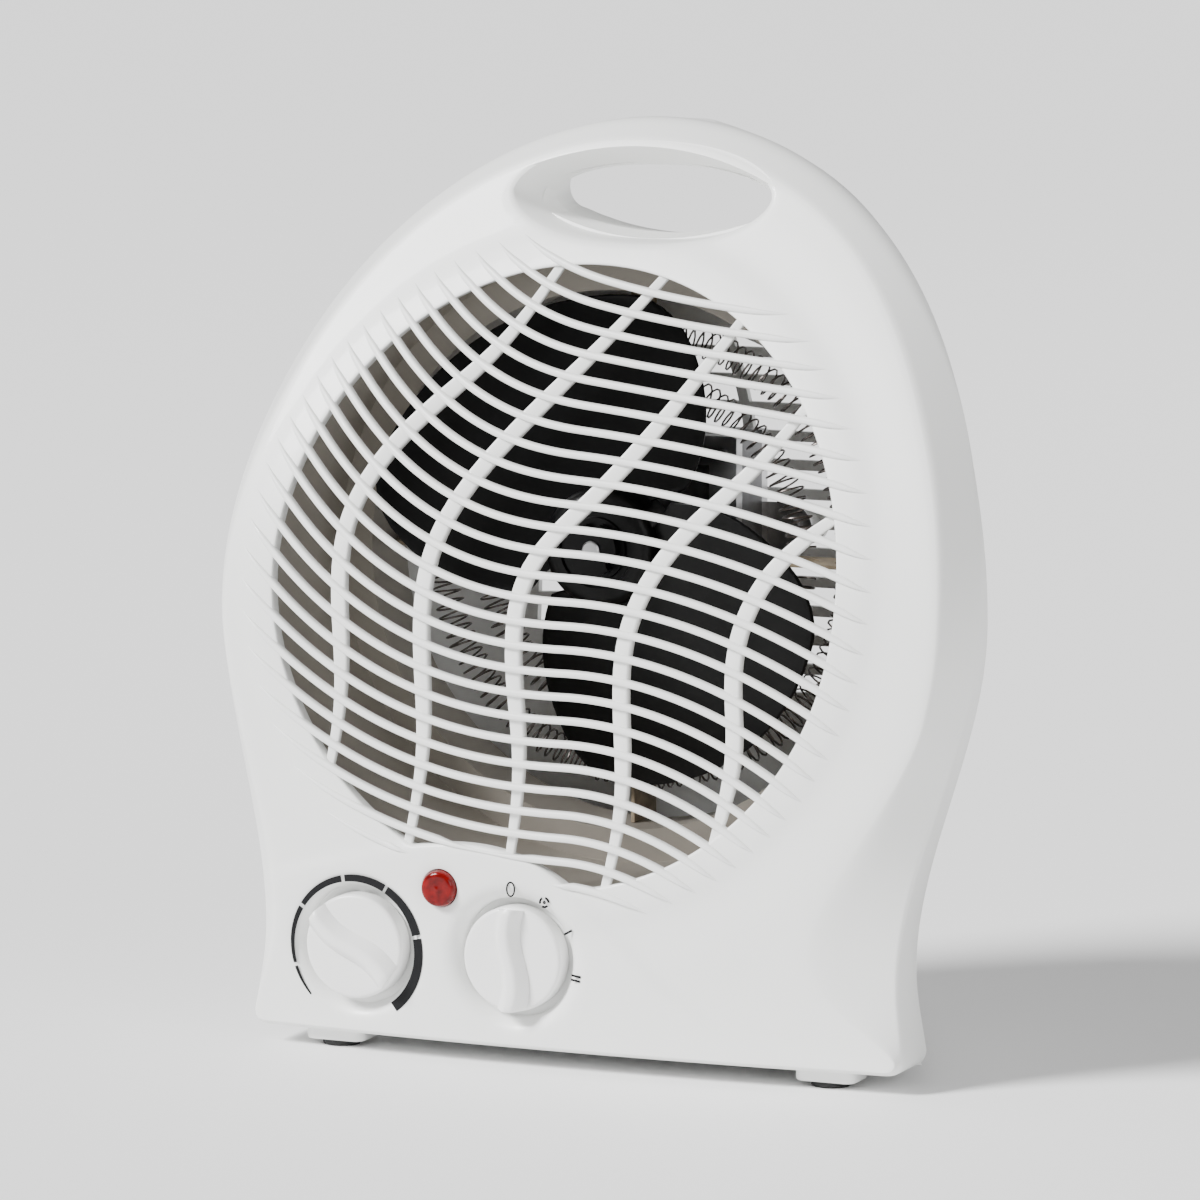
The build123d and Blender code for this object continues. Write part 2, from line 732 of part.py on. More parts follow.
# indicator: red lens pressed in the panel, with a neon lamp behind it
with BuildPart() as indicator_lens:
    add(rod(lens_y - 1.4, lens_y + 0.5, lens_r, lens_x, lens_z))
    fillet(indicator_lens.faces().sort_by(Axis.Y)[0].edges(), 1.2)
    add(rod(lens_y + 0.5, lens_y + 7, lens_stem_r, lens_x, lens_z))
finish(indicator_lens, "indicator_lens")
with BuildPart() as indicator_lamp:
    add(rod(lens_y + 7, lens_y + 7 + lamp_length, 2.6, lens_x, lens_z))
finish(indicator_lamp, "indicator_lamp")

# rubber pads under the feet
pad_places = (("front_left", -front_foot_x, front_foot_y), ("front_right", front_foot_x, front_foot_y),
              ("back_left", -back_foot_x, back_foot_y), ("back_right", back_foot_x, back_foot_y))
for name, x, y in pad_places:
    with BuildPart() as pad:
        with Locations((x, y, pad_height / 2)):
            Cylinder(pad_r, pad_height)
        chamfer(pad.edges().group_by(Axis.Z)[0], 0.4)
        with Locations((x, y, pad_height + pad_peg / 2)):
            Cylinder(pad_peg_r - screw_gap, pad_peg)
    finish(pad, f"{name}_pad")

# mains inlet: bush in the back and terminal block on the floor
rear_skin = back_y - wall
with BuildPart() as cord_inlet_bush:
    add(rod(rear_skin - 2, back_y, inlet_r - screw_gap, inlet_x, inlet_z))
    add(rod(rear_skin - 2, rear_skin, inlet_flange_r, inlet_x, inlet_z))
    add(rod(rear_skin - 3, back_y + 1, inlet_bore_r, inlet_x, inlet_z), mode=Mode.SUBTRACT)
    chamfer(cord_inlet_bush.edges().filter_by(GeomType.CIRCLE).group_by(Axis.Y)[-1].sort_by(
        SortBy.RADIUS)[0], 0.6)
finish(cord_inlet_bush, "cord_inlet_bush")
with BuildPart() as terminal_block:
    with BuildSketch(Plane.XY.offset(foot_height + wall)):
        with Locations((-18, back_y - 24)):
            Rectangle(27, 12)
    extrude(amount=10)
    with BuildSketch(Plane.XY.offset(foot_height + wall + 10)):
        with Locations((-18, back_y - 24)):
            with GridLocations(9, 0, 3, 1):
                Circle(2.6)
    extrude(amount=3)
    with BuildSketch(Plane.XY.offset(foot_height + wall + 13)):
        with Locations((-18, back_y - 24)):
            with GridLocations(9, 0, 3, 1):
                Circle(1.8)
    extrude(amount=-5, mode=Mode.SUBTRACT)
finish(terminal_block, "terminal_block")
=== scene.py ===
import json
import math
import bpy
import bmesh
import numpy as np
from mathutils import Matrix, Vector
from mathutils.geometry import delaunay_2d_cdt


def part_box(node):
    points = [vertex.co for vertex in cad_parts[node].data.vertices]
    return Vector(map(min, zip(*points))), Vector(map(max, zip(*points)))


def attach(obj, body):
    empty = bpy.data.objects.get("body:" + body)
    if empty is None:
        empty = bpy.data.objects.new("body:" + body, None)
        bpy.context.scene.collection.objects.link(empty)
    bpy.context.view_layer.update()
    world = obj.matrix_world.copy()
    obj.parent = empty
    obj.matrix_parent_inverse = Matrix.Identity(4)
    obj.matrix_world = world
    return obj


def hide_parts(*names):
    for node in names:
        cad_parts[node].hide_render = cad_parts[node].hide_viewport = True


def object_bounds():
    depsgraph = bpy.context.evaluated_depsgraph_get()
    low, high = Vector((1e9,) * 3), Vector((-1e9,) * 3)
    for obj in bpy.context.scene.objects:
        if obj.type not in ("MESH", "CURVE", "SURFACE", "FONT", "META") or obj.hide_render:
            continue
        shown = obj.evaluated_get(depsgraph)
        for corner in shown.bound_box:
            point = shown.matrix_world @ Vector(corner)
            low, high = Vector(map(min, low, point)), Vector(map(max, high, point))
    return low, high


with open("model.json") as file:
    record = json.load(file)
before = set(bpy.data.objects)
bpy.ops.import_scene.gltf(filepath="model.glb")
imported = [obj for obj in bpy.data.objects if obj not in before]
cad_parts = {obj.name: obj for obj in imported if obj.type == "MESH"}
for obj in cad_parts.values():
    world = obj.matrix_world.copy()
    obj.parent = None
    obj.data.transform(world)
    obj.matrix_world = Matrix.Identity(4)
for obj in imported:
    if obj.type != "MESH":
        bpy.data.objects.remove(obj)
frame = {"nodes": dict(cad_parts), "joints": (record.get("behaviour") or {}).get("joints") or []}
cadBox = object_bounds()
nodes = frame["nodes"]
mm = 0.001


def middleOf(node):
    low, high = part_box(node)
    return (low + high) / 2 / mm


fanJoint = next(j for j in frame["joints"] if j["name"] == "fan_spin")
fanX, fanZ = fanJoint["pos_m"][0] / mm, fanJoint["pos_m"][2] / mm
frontY = next(j for j in frame["joints"] if j["name"] == "selector_turn")["pos_m"][1] / mm
print("frame loaded")


def makeMesh(name, verts, faces, material, smooth=True):
    mesh = bpy.data.meshes.new(name)
    mesh.from_pydata([(x * mm, y * mm, z * mm) for x, y, z in verts], [], faces)
    mesh.validate()
    obj = bpy.data.objects.new(name, mesh)
    bpy.context.scene.collection.objects.link(obj)
    tidyMesh(obj, smooth)
    obj.data.materials.append(material)
    return obj


def tidyMesh(obj, smooth=True, angle=32):
    work = bmesh.new()
    work.from_mesh(obj.data)
    bmesh.ops.remove_doubles(work, verts=work.verts, dist=2e-6)
    bmesh.ops.dissolve_degenerate(work, edges=work.edges, dist=1e-6)
    bmesh.ops.recalc_face_normals(work, faces=work.faces)
    for edge in work.edges:
        sharp = len(edge.link_faces) == 2 and edge.calc_face_angle(0) > math.radians(angle)
        edge.smooth = not sharp
    for face in work.faces:
        face.smooth = smooth
    work.to_mesh(obj.data)
    work.free()


def smoothstep(t):
    t = min(1.0, max(0.0, t))
    return t * t * (3 - 2 * t)


def ringFaces(rows, closed=True, start=0):
    # quads between rows of the same length, one after another
    faces = []
    count = len(rows[0])
    for r in range(len(rows) - 1):
        for c in range(count if closed else count - 1):
            a = start + r * count + c
            b = start + r * count + (c + 1) % count
            faces.append((a, b, b + count, a + count))
    return faces


def flatten(rows):
    return [p for row in rows for p in row]


def roundCorner(before, corner, after, radius, steps=4):
    # a corner of a section taken off with a short curve
    before, corner, after = (np.array(p, float) for p in (before, corner, after))
    first = before - corner
    last = after - corner
    first *= min(radius, 0.45 * np.linalg.norm(first)) / max(np.linalg.norm(first), 1e-9)
    last *= min(radius, 0.45 * np.linalg.norm(last)) / max(np.linalg.norm(last), 1e-9)
    points = []
    for k in range(steps + 1):
        t = k / steps
        points.append(tuple(corner + first * (1 - t) ** 2 + last * t * t))
    return points


def revolve(profile, centre, segments=96):
    # profile of (radius, y) turned about the line along Y through centre
    rows = []
    for radius, y in profile:
        rows.append([(centre[0] + radius * math.cos(2 * math.pi * k / segments), y,
                      centre[1] + radius * math.sin(2 * math.pi * k / segments))
                     for k in range(segments)])
    return flatten(rows), ringFaces(rows)


def newMaterial(name, colour, roughness, **extra):
    material = bpy.data.materials.new(name)
    material.use_nodes = True
    shader = material.node_tree.nodes["Principled BSDF"]
    shader.inputs["Base Color"].default_value = (*colour, 1)
    shader.inputs["Roughness"].default_value = roughness
    for socket, value in extra.items():
        shader.inputs[socket.replace("_", " ")].default_value = value
    return material


def addGrain(material, scale, strength, distance, tint=0.0, roughSpread=0.0, tintScale=40.0):
    # fine relief, a slow drift of colour and a little change of gloss, all on Object coordinates
    tree = material.node_tree
    shader = tree.nodes["Principled BSDF"]
    where = tree.nodes.new("ShaderNodeTexCoord")
    grain = tree.nodes.new("ShaderNodeTexNoise")
    grain.inputs["Scale"].default_value = scale
    grain.inputs["Detail"].default_value = 3
    bump = tree.nodes.new("ShaderNodeBump")
    bump.inputs["Strength"].default_value = strength
    bump.inputs["Distance"].default_value = distance
    tree.links.new(where.outputs["Object"], grain.inputs["Vector"])
    tree.links.new(grain.outputs["Fac"], bump.inputs["Height"])
    tree.links.new(bump.outputs["Normal"], shader.inputs["Normal"])
    if tint or roughSpread:
        drift = tree.nodes.new("ShaderNodeTexNoise")
        drift.inputs["Scale"].default_value = tintScale
        drift.inputs["Detail"].default_value = 4
        tree.links.new(where.outputs["Object"], drift.inputs["Vector"])
    if tint:
        base = shader.inputs["Base Color"].default_value
        ramp = tree.nodes.new("ShaderNodeValToRGB")
        ramp.color_ramp.elements[0].position = 0.3
        ramp.color_ramp.elements[1].position = 0.7
        ramp.color_ramp.elements[0].color = (*[c * (1 - tint) for c in base[:3]], 1)
        ramp.color_ramp.elements[1].color = (*[min(1, c * (1 + 0.5 * tint)) for c in base[:3]], 1)
        tree.links.new(drift.outputs["Fac"], ramp.inputs["Fac"])
        tree.links.new(ramp.outputs["Color"], shader.inputs["Base Color"])
    if roughSpread:
        middle = shader.inputs["Roughness"].default_value
        spread = tree.nodes.new("ShaderNodeMapRange")
        spread.inputs["To Min"].default_value = middle - roughSpread
        spread.inputs["To Max"].default_value = middle + roughSpread
        tree.links.new(drift.outputs["Fac"], spread.inputs["Value"])
        tree.links.new(spread.outputs["Result"], shader.inputs["Roughness"])
    return material


housingWhite = addGrain(newMaterial("housingWhite", (0.86, 0.865, 0.85), 0.40, Coat_Weight=0.08),
                        2600, 0.10, 0.00006, tint=0.012, roughSpread=0.05, tintScale=30)
knobWhite = addGrain(newMaterial("knobWhite", (0.87, 0.87, 0.86), 0.34, Coat_Weight=0.12),
                     1800, 0.05, 0.00004, tint=0.010, roughSpread=0.04, tintScale=60)
ductTaupe = addGrain(newMaterial("ductTaupe", (0.35, 0.32, 0.28), 0.45, Metallic=0.2),
                     900, 0.10, 0.0001, tint=0.10, roughSpread=0.08, tintScale=25)
fanBlack = addGrain(newMaterial("fanBlack", (0.002, 0.002, 0.002), 0.3, Specular_IOR_Level=0.2),
                    700, 0.03, 0.0001, tint=0.2, roughSpread=0.05, tintScale=30)
micaBoard = addGrain(newMaterial("micaBoard", (0.36, 0.29, 0.20), 0.5),
                     500, 0.25, 0.0001, tint=0.35, roughSpread=0.1, tintScale=260)
heaterWire = addGrain(newMaterial("heaterWire", (0.17, 0.15, 0.14), 0.35, Metallic=0.85),
                      1500, 0.10, 0.00005, tint=0.25, roughSpread=0.08, tintScale=300)
platedSteel = addGrain(newMaterial("platedSteel", (0.60, 0.60, 0.61), 0.30, Metallic=1.0),
                       900, 0.08, 0.00005, tint=0.08, roughSpread=0.08, tintScale=120)
coreSteel = addGrain(newMaterial("coreSteel", (0.28, 0.28, 0.29), 0.45, Metallic=0.9),
                     1200, 0.15, 0.0001, tint=0.2, roughSpread=0.1, tintScale=200)
windingTape = addGrain(newMaterial("windingTape", (0.42, 0.20, 0.07), 0.4),
                       900, 0.3, 0.0002, tint=0.2, roughSpread=0.08, tintScale=300)
bushBronze = addGrain(newMaterial("bushBronze", (0.58, 0.40, 0.20), 0.4, Metallic=1.0),
                      2000, 0.12, 0.00005, tint=0.15, roughSpread=0.08, tintScale=500)
controlCream = addGrain(newMaterial("controlCream", (0.72, 0.66, 0.52), 0.5),
                        1200, 0.12, 0.00008, tint=0.04, roughSpread=0.06)
rubberBlack = addGrain(newMaterial("rubberBlack", (0.012, 0.012, 0.012), 0.7),
                       1500, 0.35, 0.0001, tint=0.2, roughSpread=0.08, tintScale=200)
greyNylon = addGrain(newMaterial("greyNylon", (0.16, 0.16, 0.16), 0.5),
                     1400, 0.15, 0.00008, tint=0.06, roughSpread=0.06)
whiteNylon = addGrain(newMaterial("whiteNylon", (0.78, 0.78, 0.75), 0.45, Subsurface_Weight=0.1),
                      1400, 0.10, 0.00008, tint=0.03, roughSpread=0.05)
printInk = addGrain(newMaterial("printInk", (0.005, 0.005, 0.006), 0.6, Specular_IOR_Level=0.2),
                    2500, 0.08, 0.00003, tint=0.15, roughSpread=0.06, tintScale=300)
lensRed = addGrain(newMaterial("lensRed", (0.16, 0.0, 0.0005), 0.14, Specular_IOR_Level=0.3),
                   500, 0.3, 0.0003, tint=0.55, roughSpread=0.04, tintScale=420)
lampGlass = addGrain(newMaterial("lampGlass", (0.95, 0.62, 0.42), 0.12, Transmission_Weight=0.7),
                     600, 0.08, 0.00005, tint=0.1)
print("materials made")


housing = {
    "halfWidth": cadBox[1].x / mm,
    "crownHeight": cadBox[1].z / mm,
    "widestHeight": 120.0,
    "waistHeight": 30.0,
    "waistHalfWidth": 90.8,
    "baseHalfWidth": 93.6,
    "baseHeight": 5.0,
    "cornerRadius": 4.5,
    "bowRadius": 900.0,
    "wall": 2.2,
    "rimDepth": 19.0,
    "rimTopDepth": 12.6,
    "rimEase": 45.0,
    "panelRise": 0.8,
    "panelStep": 3.0,
    "ringFall": 0.6,
    "ringStart": 6.0,
    "ringEnd": 26.0,
    "ringFade": 14.0,
    "gridStep": 2.1,
}
bevel = {"width": 6.4, "flare": 9.0, "flareTop": 95.0, "flareRun": 40.0, "baseWidth": 1.3,
         "baseRun": 34.0, "baseDepth": 1.5, "deepen": 10.8, "deepenRun": 95.0,
         "crownWidth": 4.8, "crownDepth": 7.0, "crownFrom": 170.0, "crownRun": 60.0,
         "soften": 0.28, "softenMost": 4.0, "edgeSoft": 1.1, "crownSoft": 2.6}
faceLean = ((-3.0, 5.0), (-5.0, 45.0), (-4.0, 90.0), (-1.5, 127.0), (10.5, 165.0),
            (25.0, 195.0), (43.5, 228.0), (53.5, 248.0))
grille = {"x": fanX, "z": 129.0, "radius": 80.5, "ribWidth": 1.9, "ribDepth": 2.9,
          "ribProud": 1.0, "ribPitch": 6.2, "topRib": 205.2, "ribCount": 26, "runOut": 11.0,
          "ribStep": 1.1, "tipSunk": 0.1, "tipSize": 0.05, "stayWidth": 4.4, "stayDepth": 2.8,
          "staySunk": 0.5, "stayEnd": 0.55, "stayRun": 0.32, "stayPast": 3.0}
panelLine = ((-112, 40), (-77, 49.5), (-42, 58), (3.6, 48.5), (30, 24), (84, 8), (112, 4))


def cubicThrough(places, values):
    # natural cubic curve through the values, as a function of place
    x, y = np.array(places, float), np.array(values, float)
    h = np.diff(x)
    count = len(x)
    system = np.eye(count)
    right = np.zeros(count)
    for i in range(1, count - 1):
        system[i, i - 1:i + 2] = h[i - 1], 2 * (h[i - 1] + h[i]), h[i]
        right[i] = 6 * ((y[i + 1] - y[i]) / h[i] - (y[i] - y[i - 1]) / h[i - 1])
    bend = np.linalg.solve(system, right)

    def value(at):
        i = int(min(max(np.searchsorted(x, at) - 1, 0), count - 2))
        a, b = (x[i + 1] - at) / h[i], (at - x[i]) / h[i]
        return (a * y[i] + b * y[i + 1]
                + ((a ** 3 - a) * bend[i] + (b ** 3 - b) * bend[i + 1]) * h[i] ** 2 / 6)
    return value


leanAt = cubicThrough([z for y, z in faceLean], [y for y, z in faceLean])
panelAt = cubicThrough([x for x, z in panelLine], [z for x, z in panelLine])


def rimDepthAt(z):
    # deep at the sides, less round the crown
    share = min(1.0, max(0.0, (z - housing["widestHeight"]) / housing["rimEase"]))
    return housing["rimDepth"] + (housing["rimTopDepth"] - housing["rimDepth"]) * share


partingAt = cubicThrough([z for y, z in faceLean], [y + rimDepthAt(z) for y, z in faceLean])


def bowed(x, y):
    # depth at a place across, of a surface bowed about an upright line far behind
    reach = housing["bowRadius"] - (frontY + y)
    return housing["bowRadius"] - math.sqrt(reach * reach - x * x)


def facePlain(x, z):
    # depth of the face, without the panel's step
    return bowed(x, leanAt(z))


def faceRelief(x, z):
    # the control panel stands a little proud, and the face falls away outside the grille's ring
    slope = (panelAt(x + 1) - panelAt(x - 1)) / 2
    below = (panelAt(x) - z) / math.sqrt(1 + slope * slope)
    rise = housing["panelRise"] * smoothstep(below / housing["panelStep"] + 0.5)
    away = math.hypot(x - grille["x"], z - grille["z"]) - grille["radius"]
    start = housing["ringStart"]
    fall = smoothstep((away - start) / start) * smoothstep(
        (housing["ringEnd"] - away) / housing["ringFade"])
    return housing["ringFall"] * fall - rise


def faceAt(x, z):
    return facePlain(x, z) + faceRelief(x, z)


def halfWidthAt(z):
    top, waist = housing["widestHeight"], housing["waistHeight"]
    if z >= top:
        share = (z - top) / (housing["crownHeight"] - top)
        return housing["halfWidth"] * math.sqrt(max(0.0, 1 - share * share))
    if z >= waist:
        s = (z - waist) / (top - waist)
        return (housing["waistHalfWidth"]
                + (housing["halfWidth"] - housing["waistHalfWidth"]) * smoothstep(s))
    s = (waist - z) / (waist - housing["baseHeight"])
    return (housing["waistHalfWidth"]
            + (housing["baseHalfWidth"] - housing["waistHalfWidth"]) * s * s * (2.25 - 1.25 * s))


def outlineLoop():
    # right half of the outline from the middle of the base to the crown, then mirrored
    base, corner = housing["baseHeight"], housing["cornerRadius"]
    side = halfWidthAt(base + corner)
    right = [(x, base) for x in np.arange(0, side - corner - 1, 2.6)]
    for k in range(9):
        t = k / 8
        right.append((side - corner * (1 - t) ** 2, base + corner * t * t))
    right += [(halfWidthAt(z), z)
              for z in np.arange(base + corner + 2.2, housing["widestHeight"] - 1, 2.2)]
    tall = housing["crownHeight"] - housing["widestHeight"]
    for k in range(71):
        turn = math.pi / 2 * k / 70
        right.append((housing["halfWidth"] * math.cos(turn),
                      housing["widestHeight"] + tall * math.sin(turn)))
    return right + [(-x, z) for x, z in reversed(right[1:-1])]


def loopNormals(loop):
    points = np.array(loop)
    along = np.roll(points, -1, 0) - np.roll(points, 1, 0)
    along /= np.linalg.norm(along, axis=1)[:, None]
    return np.stack([along[:, 1], -along[:, 0]], 1)


def rimShape(x, z):
    # how far in the bevel starts and how deep it goes; wide at the lower right only
    low = housing["baseHeight"]
    width = bevel["width"]
    if x > 0:
        width += bevel["flare"] * (max(0.0, bevel["flareTop"] - z) / bevel["flareRun"]) ** 1.5
    start = smoothstep((z - low - 2) / bevel["baseRun"])
    width = bevel["baseWidth"] + (width - bevel["baseWidth"]) * start
    rise = min(1.0, max(0.0, (z - low) / bevel["deepenRun"]))
    depth = bevel["baseDepth"] + bevel["deepen"] * rise ** 0.8
    top = smoothstep((z - bevel["crownFrom"]) / bevel["crownRun"])
    width += (bevel["crownWidth"] - width) * top
    depth += (bevel["crownDepth"] - depth) * top
    return width, depth


handle = {"x": 1.8, "lipHalf": (36.8, 12.4), "lipZ": 227.5, "throatHalf": (31.9, 9.2),
          "throatZ": 225.0, "throatY": frontY + 60.9, "lipDrop": 1.0,
          "lip": ((1.6, 0.0), (0.9, 0.1), (0.35, 0.4), (0.0, 1.0))}
knobs = {
    "thermostat": {"node": "thermostat_knob", "spindle": "thermostat_spindle",
                   "body": "thermostat_dial", "turn": -52.0},
    "selector": {"node": "selector_knob", "spindle": "selector_spindle",
                 "body": "selector_dial", "turn": 0.0},
}
for knob in knobs.values():
    spot = middleOf(knob["spindle"])
    knob["x"], knob["z"] = spot.x, spot.z
recess = {"radius": 16.0, "floorY": frontY + 1.0, "floorThick": 3.0, "hole": 3.1,
          "dish": ((5.0, 0.0), (4.0, 0.15), (3.0, 0.5), (2.0, 1.1), (1.2, 1.9), (0.5, 2.9),
                   (0.1, 3.5))}
lens = {"hole": 5.05, "radius": 4.95, "high": 2.0, "soft": 1.3, "stem": 3.7, "stemLength": 5.0}
lensSpot = middleOf("indicator_lens")
# sections round the openings: how far outside the edge, and how deep below the face
grilleEdge = ((0.9, 0.0), (0.55, 0.05), (0.25, 0.2), (0.06, 0.5), (0.0, 0.9), (0.0, 3.6),
              (0.9, 3.6), (0.9, housing["wall"]))
lensEdge = ((0.5, 0.0), (0.2, 0.08), (0.0, 0.35), (0.0, housing["wall"]), (0.5, housing["wall"]))


def handleLoop(half, centreZ, count=96):
    # pointed oval with rounded ends
    points = []
    for k in range(count):
        turn = 2 * math.pi * k / count
        c, s = math.cos(turn), math.sin(turn)
        wide = math.copysign(abs(c) ** 0.86, c)
        tall = math.copysign(abs(s) ** 1.12, s)
        points.append((handle["x"] + half[0] * wide, centreZ + half[1] * tall))
    return points


def circleLoop(x, z, radius, count):
    return [(x + radius * math.cos(2 * math.pi * k / count),
             z + radius * math.sin(2 * math.pi * k / count)) for k in range(count)]


def grilleLoop():
    # the round opening, cut off below by the panel's edge
    return [(x, max(z, panelAt(x)))
            for x, z in circleLoop(grille["x"], grille["z"], grille["radius"], 240)]


def strip(verts, faces, loop, sections):
    # a closed band: every loop point carries a section of (outward, depth) pairs
    normals = loopNormals(loop)
    rows = []
    for r in range(len(sections[0])):
        row = []
        for (x, z), n, section in zip(loop, normals, sections):
            out, y = section[r]
            row.append((x + n[0] * out, y, z + n[1] * out))
        rows.append(row)
    faces += ringFaces(rows, start=len(verts))
    verts += flatten(rows)
    return [(x, z) for x, y, z in rows[0]]


def outward(spot, normal, distance):
    return spot[0] + normal[0] * distance, spot[1] + normal[1] * distance


def insideLoop(points, loop):
    inside = np.zeros(len(points), bool)
    ring = np.array(loop)
    for (x1, z1), (x2, z2) in zip(ring, np.roll(ring, -1, 0)):
        crosses = (z1 > points[:, 1]) != (z2 > points[:, 1])
        if z1 == z2:
            continue
        at = (x2 - x1) * (points[:, 1] - z1) / (z2 - z1) + x1
        inside ^= crosses & (points[:, 0] < at)
    return inside


def gapTo(points, loop):
    near = np.full(len(points), 1e9)
    for x, z in loop:
        near = np.minimum(near, np.hypot(points[:, 0] - x, points[:, 1] - z))
    return near


def rimSections(outline):
    # bevel, side wall, parting edge and the wall's inside
    wall = housing["wall"]
    sections = []
    for spot, n in zip(outline, loopNormals(outline)):
        x, z = spot
        width, depth = rimShape(x, z)
        soft = 1.5 * min(bevel["soften"] * width, bevel["softenMost"])
        crease = (-width, faceAt(*outward(spot, n, -width)))
        inner = (-width - soft, faceAt(*outward(spot, n, -width - soft)))
        edge = (0.0, facePlain(x, z) + depth)
        parting = (0.0, bowed(x, partingAt(z)))
        back = (-wall, parting[1])
        crown = smoothstep((z - bevel["crownFrom"]) / bevel["crownRun"])
        edgeSoft = bevel["edgeSoft"] + bevel["crownSoft"] * crown
        section = [inner] + roundCorner(inner, crease, edge, soft, 6)[1:]
        section += roundCorner(crease, edge, parting, edgeSoft, 5)
        section += roundCorner(edge, parting, back, 0.35, 2)
        section += [back, (-wall, edge[1] + wall), (inner[0], inner[1] + wall)]
        sections.append(section)
    return sections


def edgeSections(loop, profile):
    return [[(out, faceAt(*outward(spot, n, out)) + drop) for out, drop in profile]
            for spot, n in zip(loop, loopNormals(loop))]


def recessSections(loop):
    # dished in to a flat floor with a hole for the spindle
    dish = edgeSections(loop, recess["dish"])
    rim = recess["dish"][0][0]
    backs = edgeSections(loop, [(rim, housing["wall"])])
    hole = recess["hole"] - recess["radius"]
    for section, back in zip(dish, backs):
        floor = max(recess["floorY"], section[-1][1] + 0.1)
        under = floor + recess["floorThick"]
        section += [(0.0, floor), (hole, floor), (hole, under), (housing["wall"], under)] + back
    return dish


def handleOpening(verts, faces):
    # bevelled in to a throat that meets the rear shell
    lip = handleLoop(handle["lipHalf"], handle["lipZ"])
    throat = handleLoop(handle["throatHalf"], handle["throatZ"])
    normals = loopNormals(lip)
    rows = []
    for out, drop in handle["lip"]:
        row = [outward(spot, n, out) for spot, n in zip(lip, normals)]
        rows.append([(x, faceAt(x, z) + drop, z) for x, z in row])
    for t in (0.25, 0.5, 0.75, 1.0):
        row = []
        for (x, z), (tx, tz) in zip(lip, throat):
            y = faceAt(x, z) + handle["lipDrop"]
            row.append((x + (tx - x) * t, y + (handle["throatY"] - y) * t, z + (tz - z) * t))
        rows.append(row)
    wall, rim = housing["wall"], handle["lip"][0][0]
    row = [outward(spot, n, wall) for spot, n in zip(throat, loopNormals(throat))]
    rows.append([(x, handle["throatY"], z) for x, z in row])
    row = [outward(spot, n, rim) for spot, n in zip(lip, normals)]
    rows.append([(x, faceAt(x, z) + wall, z) for x, z in row])
    faces += ringFaces(rows, start=len(verts))
    verts += flatten(rows)
    return [(x, z) for x, y, z in rows[0]]


def faceNet(domain, holes):
    # a fine triangle net between the loops
    step = housing["gridStep"]
    grid = []
    for i, z in enumerate(np.arange(housing["baseHeight"], housing["crownHeight"], step * 0.87)):
        shift = step / 2 if i % 2 else 0
        grid += [(x + shift, z) for x in np.arange(-110, 110, step)]
    grid = np.array(grid)
    keep = insideLoop(grid, domain) & (gapTo(grid, domain) > 0.7 * step)
    for hole in holes:
        keep &= ~insideLoop(grid, hole)
    for hole in holes:
        keep[keep] &= gapTo(grid[keep], hole) > 0.6 * step
    points = [tuple(p) for p in grid[keep]]
    edges = []
    for loop in [domain] + holes:
        start = len(points)
        points += loop
        edges += [(start + k, start + (k + 1) % len(loop)) for k in range(len(loop))]
    found = delaunay_2d_cdt([Vector(p) for p in points], edges, [], 0, 1e-5)
    net, cells = found[0], found[2]
    centres = np.array([np.mean([net[i] for i in cell], axis=0) for cell in cells])
    shown = insideLoop(centres, domain)
    for hole in holes:
        shown &= ~insideLoop(centres, hole)
    return net, [cell for cell, yes in zip(cells, shown) if yes]


def frontShell():
    verts, faces = [], []
    outline = outlineLoop()
    domain = strip(verts, faces, outline, rimSections(outline))
    holes = []
    for loop, profile in ((grilleLoop(), grilleEdge),
                          (circleLoop(lensSpot.x, lensSpot.z, lens["hole"], 48), lensEdge)):
        holes.append(strip(verts, faces, loop, edgeSections(loop, profile)))
    for knob in knobs.values():
        loop = circleLoop(knob["x"], knob["z"], recess["radius"], 96)
        holes.append(strip(verts, faces, loop, recessSections(loop)))
    holes.append(handleOpening(verts, faces))
    net, cells = faceNet(domain, holes)
    start = len(verts)
    verts += [(p[0], faceAt(p[0], p[1]), p[1]) for p in net]
    faces += [tuple(start + i for i in cell) for cell in cells]
    start = len(verts)
    verts += [(p[0], faceAt(p[0], p[1]) + housing["wall"], p[1]) for p in net]
    faces += [tuple(start + i for i in reversed(cell)) for cell in cells]
    shell = makeMesh("frontShellMoulding", verts, faces, housingWhite)
    work = bmesh.new()
    work.from_mesh(shell.data)
    bmesh.ops.delete(work, geom=[v for v in work.verts if not v.link_faces], context="VERTS")
    work.to_mesh(shell.data)
    work.free()
    return shell


shellPiece = frontShell()
print("front shell", len(shellPiece.data.polygons))


